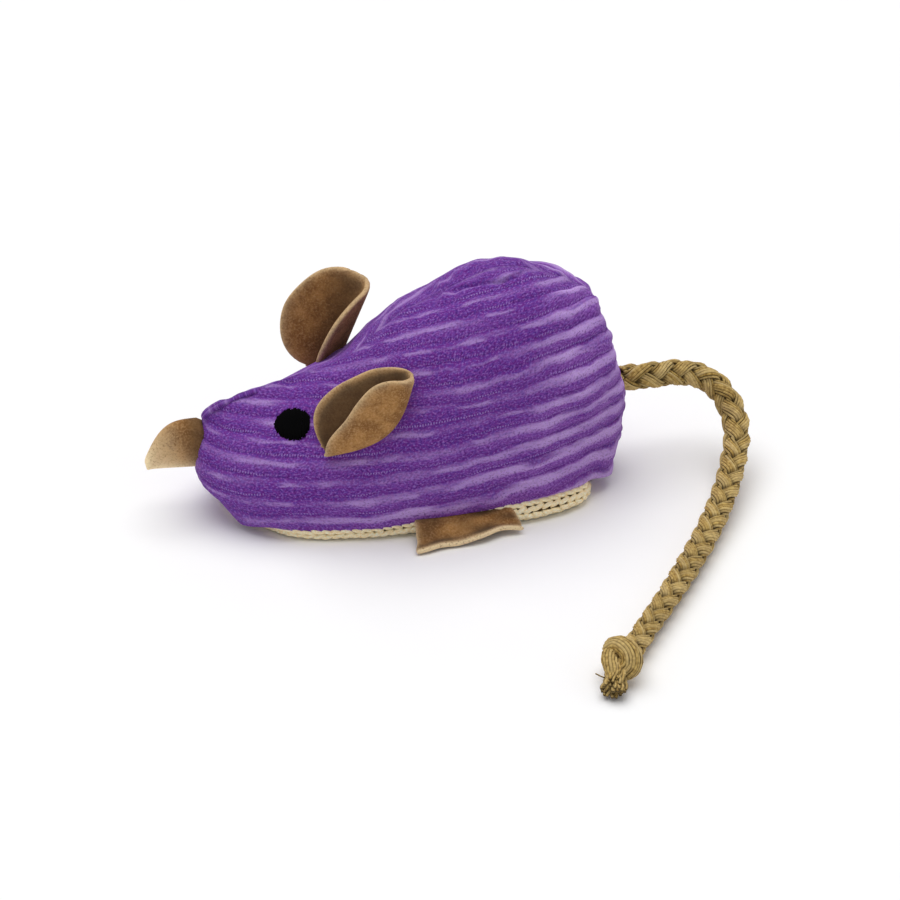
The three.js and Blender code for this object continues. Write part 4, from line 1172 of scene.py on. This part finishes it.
def stuffing():
    """The body's surface, left side up to the back and right side down, drawn toward a middle by a share
    that wanders a little, with a flat underside."""
    climb = np.linspace(1, 0, FIBRE_COLUMNS)
    level = np.concatenate([climb, np.linspace(0, 1, FIBRE_COLUMNS)[1:]])[None, :]
    side = np.where(np.arange(level.size) < FIBRE_COLUMNS, -1.0, 1.0)[None, :]
    along = np.linspace(0.015, 0.985, FIBRE_ROWS)[:, None]
    skin = cover_surface(along, level, side)
    lumps = 1 - 0.02 * (1 + ripple(along * 9, level * 4 * side, 141))
    points = FIBRE_MIDDLE + (skin - FIBRE_MIDDLE) * FIBRE_SHARE * lumps[..., None]
    ids = np.arange(FIBRE_ROWS * level.size).reshape(FIBRE_ROWS, level.size)
    ends = [ids[0].tolist(), ids[-1, ::-1].tolist()]
    return piece("fibre_stuffing", points, *turned_out(points - FIBRE_MIDDLE, ring_quads(ids), ends))


fibre = hidden_finish("white_fibre", (240, 238, 232), (206, 203, 196), 700)
dress(stuffing(), "mouse_body", "fibre_fill", fibre, "stuffing")

# %% Seams
THREAD_RADIUS, SEAM_STITCH, STITCH_DIP = 0.25, 2.5, 0.2
BACK_SEAM_SHARE = [0.93, 0, 0.95]
BASE_SEAM_INSET, BASE_SEAM_RISE = 1.4, 0.9


def seam_thread(name, line, inward):
    """Tube along a seam that dips inward and back once for each stitch."""
    dip = STITCH_DIP * np.sin(2 * np.pi * lengths(line, 0) / SEAM_STITCH)
    path = line + dip[:, None] * inward
    points, faces, caps, _, run = tubes(path[None], THREAD_RADIUS, 6, np.array([0.1, 0.2, 1.0]))
    return piece(name, points, faces, caps, np.stack([run, 0 * run], 1))


thread = hidden_finish("purple_thread", (100, 60, 138), (70, 36, 104), 3000)
back_line = cover_surface(np.linspace(0.02, 0.98, 700), 0, -1) * BACK_SEAM_SHARE
along, side = round_base(np.linspace(0, 0.999, 900))
base_x, base_y = plan(along, side, base_tuck(along) + BASE_SEAM_INSET)
base_line = np.stack([base_x, base_y, through(BASE_LINE, along) + BASE_SEAM_RISE], 1)
for name, line, inward in (("back", back_line, -UP), ("base", base_line, UP)):
    made = seam_thread(f"stitched_{name}_seam", line, inward)
    dress(made, "mouse_body", "seam_thread", thread, f"{name}_seam_thread")
print("inside: stuffing, catnip and two seams")

# %% [markdown]
# ## Floor and light
#
# The floor is a pale sweep under a broad soft light from overhead, with an even fill from all round, as in
# a light tent. Together they light a level surface by about one, so a colour looks as it is written.

# %% Floor
FLOOR_HALF, FLOOR_DROP = 3000, 0.02
corner = np.array([[-1, -1, 0], [1, -1, 0], [1, 1, 0], [-1, 1, 0]]) * FLOOR_HALF - FLOOR_DROP * UP
floor = piece("floor", corner, np.array([[0, 1, 2, 3]]))


def floor_finish():
    """White board that shows white to the camera where nothing shades it, and keeps the shadow."""
    made = Finish("white_board", 0.9)
    return made.done(made.mix(made.noise(40), (250, 250, 251), (254, 254, 254)))


floor.data.materials.append(floor_finish())

# %% Light
KEY_LEVEL, FILL_LEVEL = 0.62, 0.43
KEY_FROM = unit(np.array([-0.05, 0.2, 1]))
KEY_WIDTH = np.radians(64)
sun = bpy.data.lights.new("key", "SUN")
sun.energy = KEY_LEVEL * np.pi / KEY_FROM[2]
sun.angle = KEY_WIDTH
key = bpy.data.objects.new("key", sun)
key_right = unit(np.cross([0, 1, 0], KEY_FROM))
key.matrix_world = facing(key_right, np.cross(KEY_FROM, key_right), KEY_FROM)
scene.collection.objects.link(key)

world = bpy.data.worlds.new("light_tent")
world.use_nodes = True
scene.world = world
tree = world.node_tree
fill = feed(tree, tree.nodes["Background"], {"Color": colour(*WHITE), "Strength": FILL_LEVEL})
seen = add_node(tree, "Background", {"Color": colour(*WHITE)})
ray = add_node(tree, "LightPath").outputs
shown = ray["Is Camera Ray"]
for kind in ("Is Glossy Ray", "Is Transmission Ray"):
    shown = add_node(tree, "Math", {0: shown, 1: ray[kind]}, operation="MAXIMUM").outputs[0]
choose = add_node(tree, "MixShader", {0: shown, 1: fill.outputs[0], 2: seen.outputs[0]})
feed(tree, tree.nodes["World Output"], {"Surface": choose.outputs[0]})
print("light: key", KEY_LEVEL, "and fill", FILL_LEVEL)
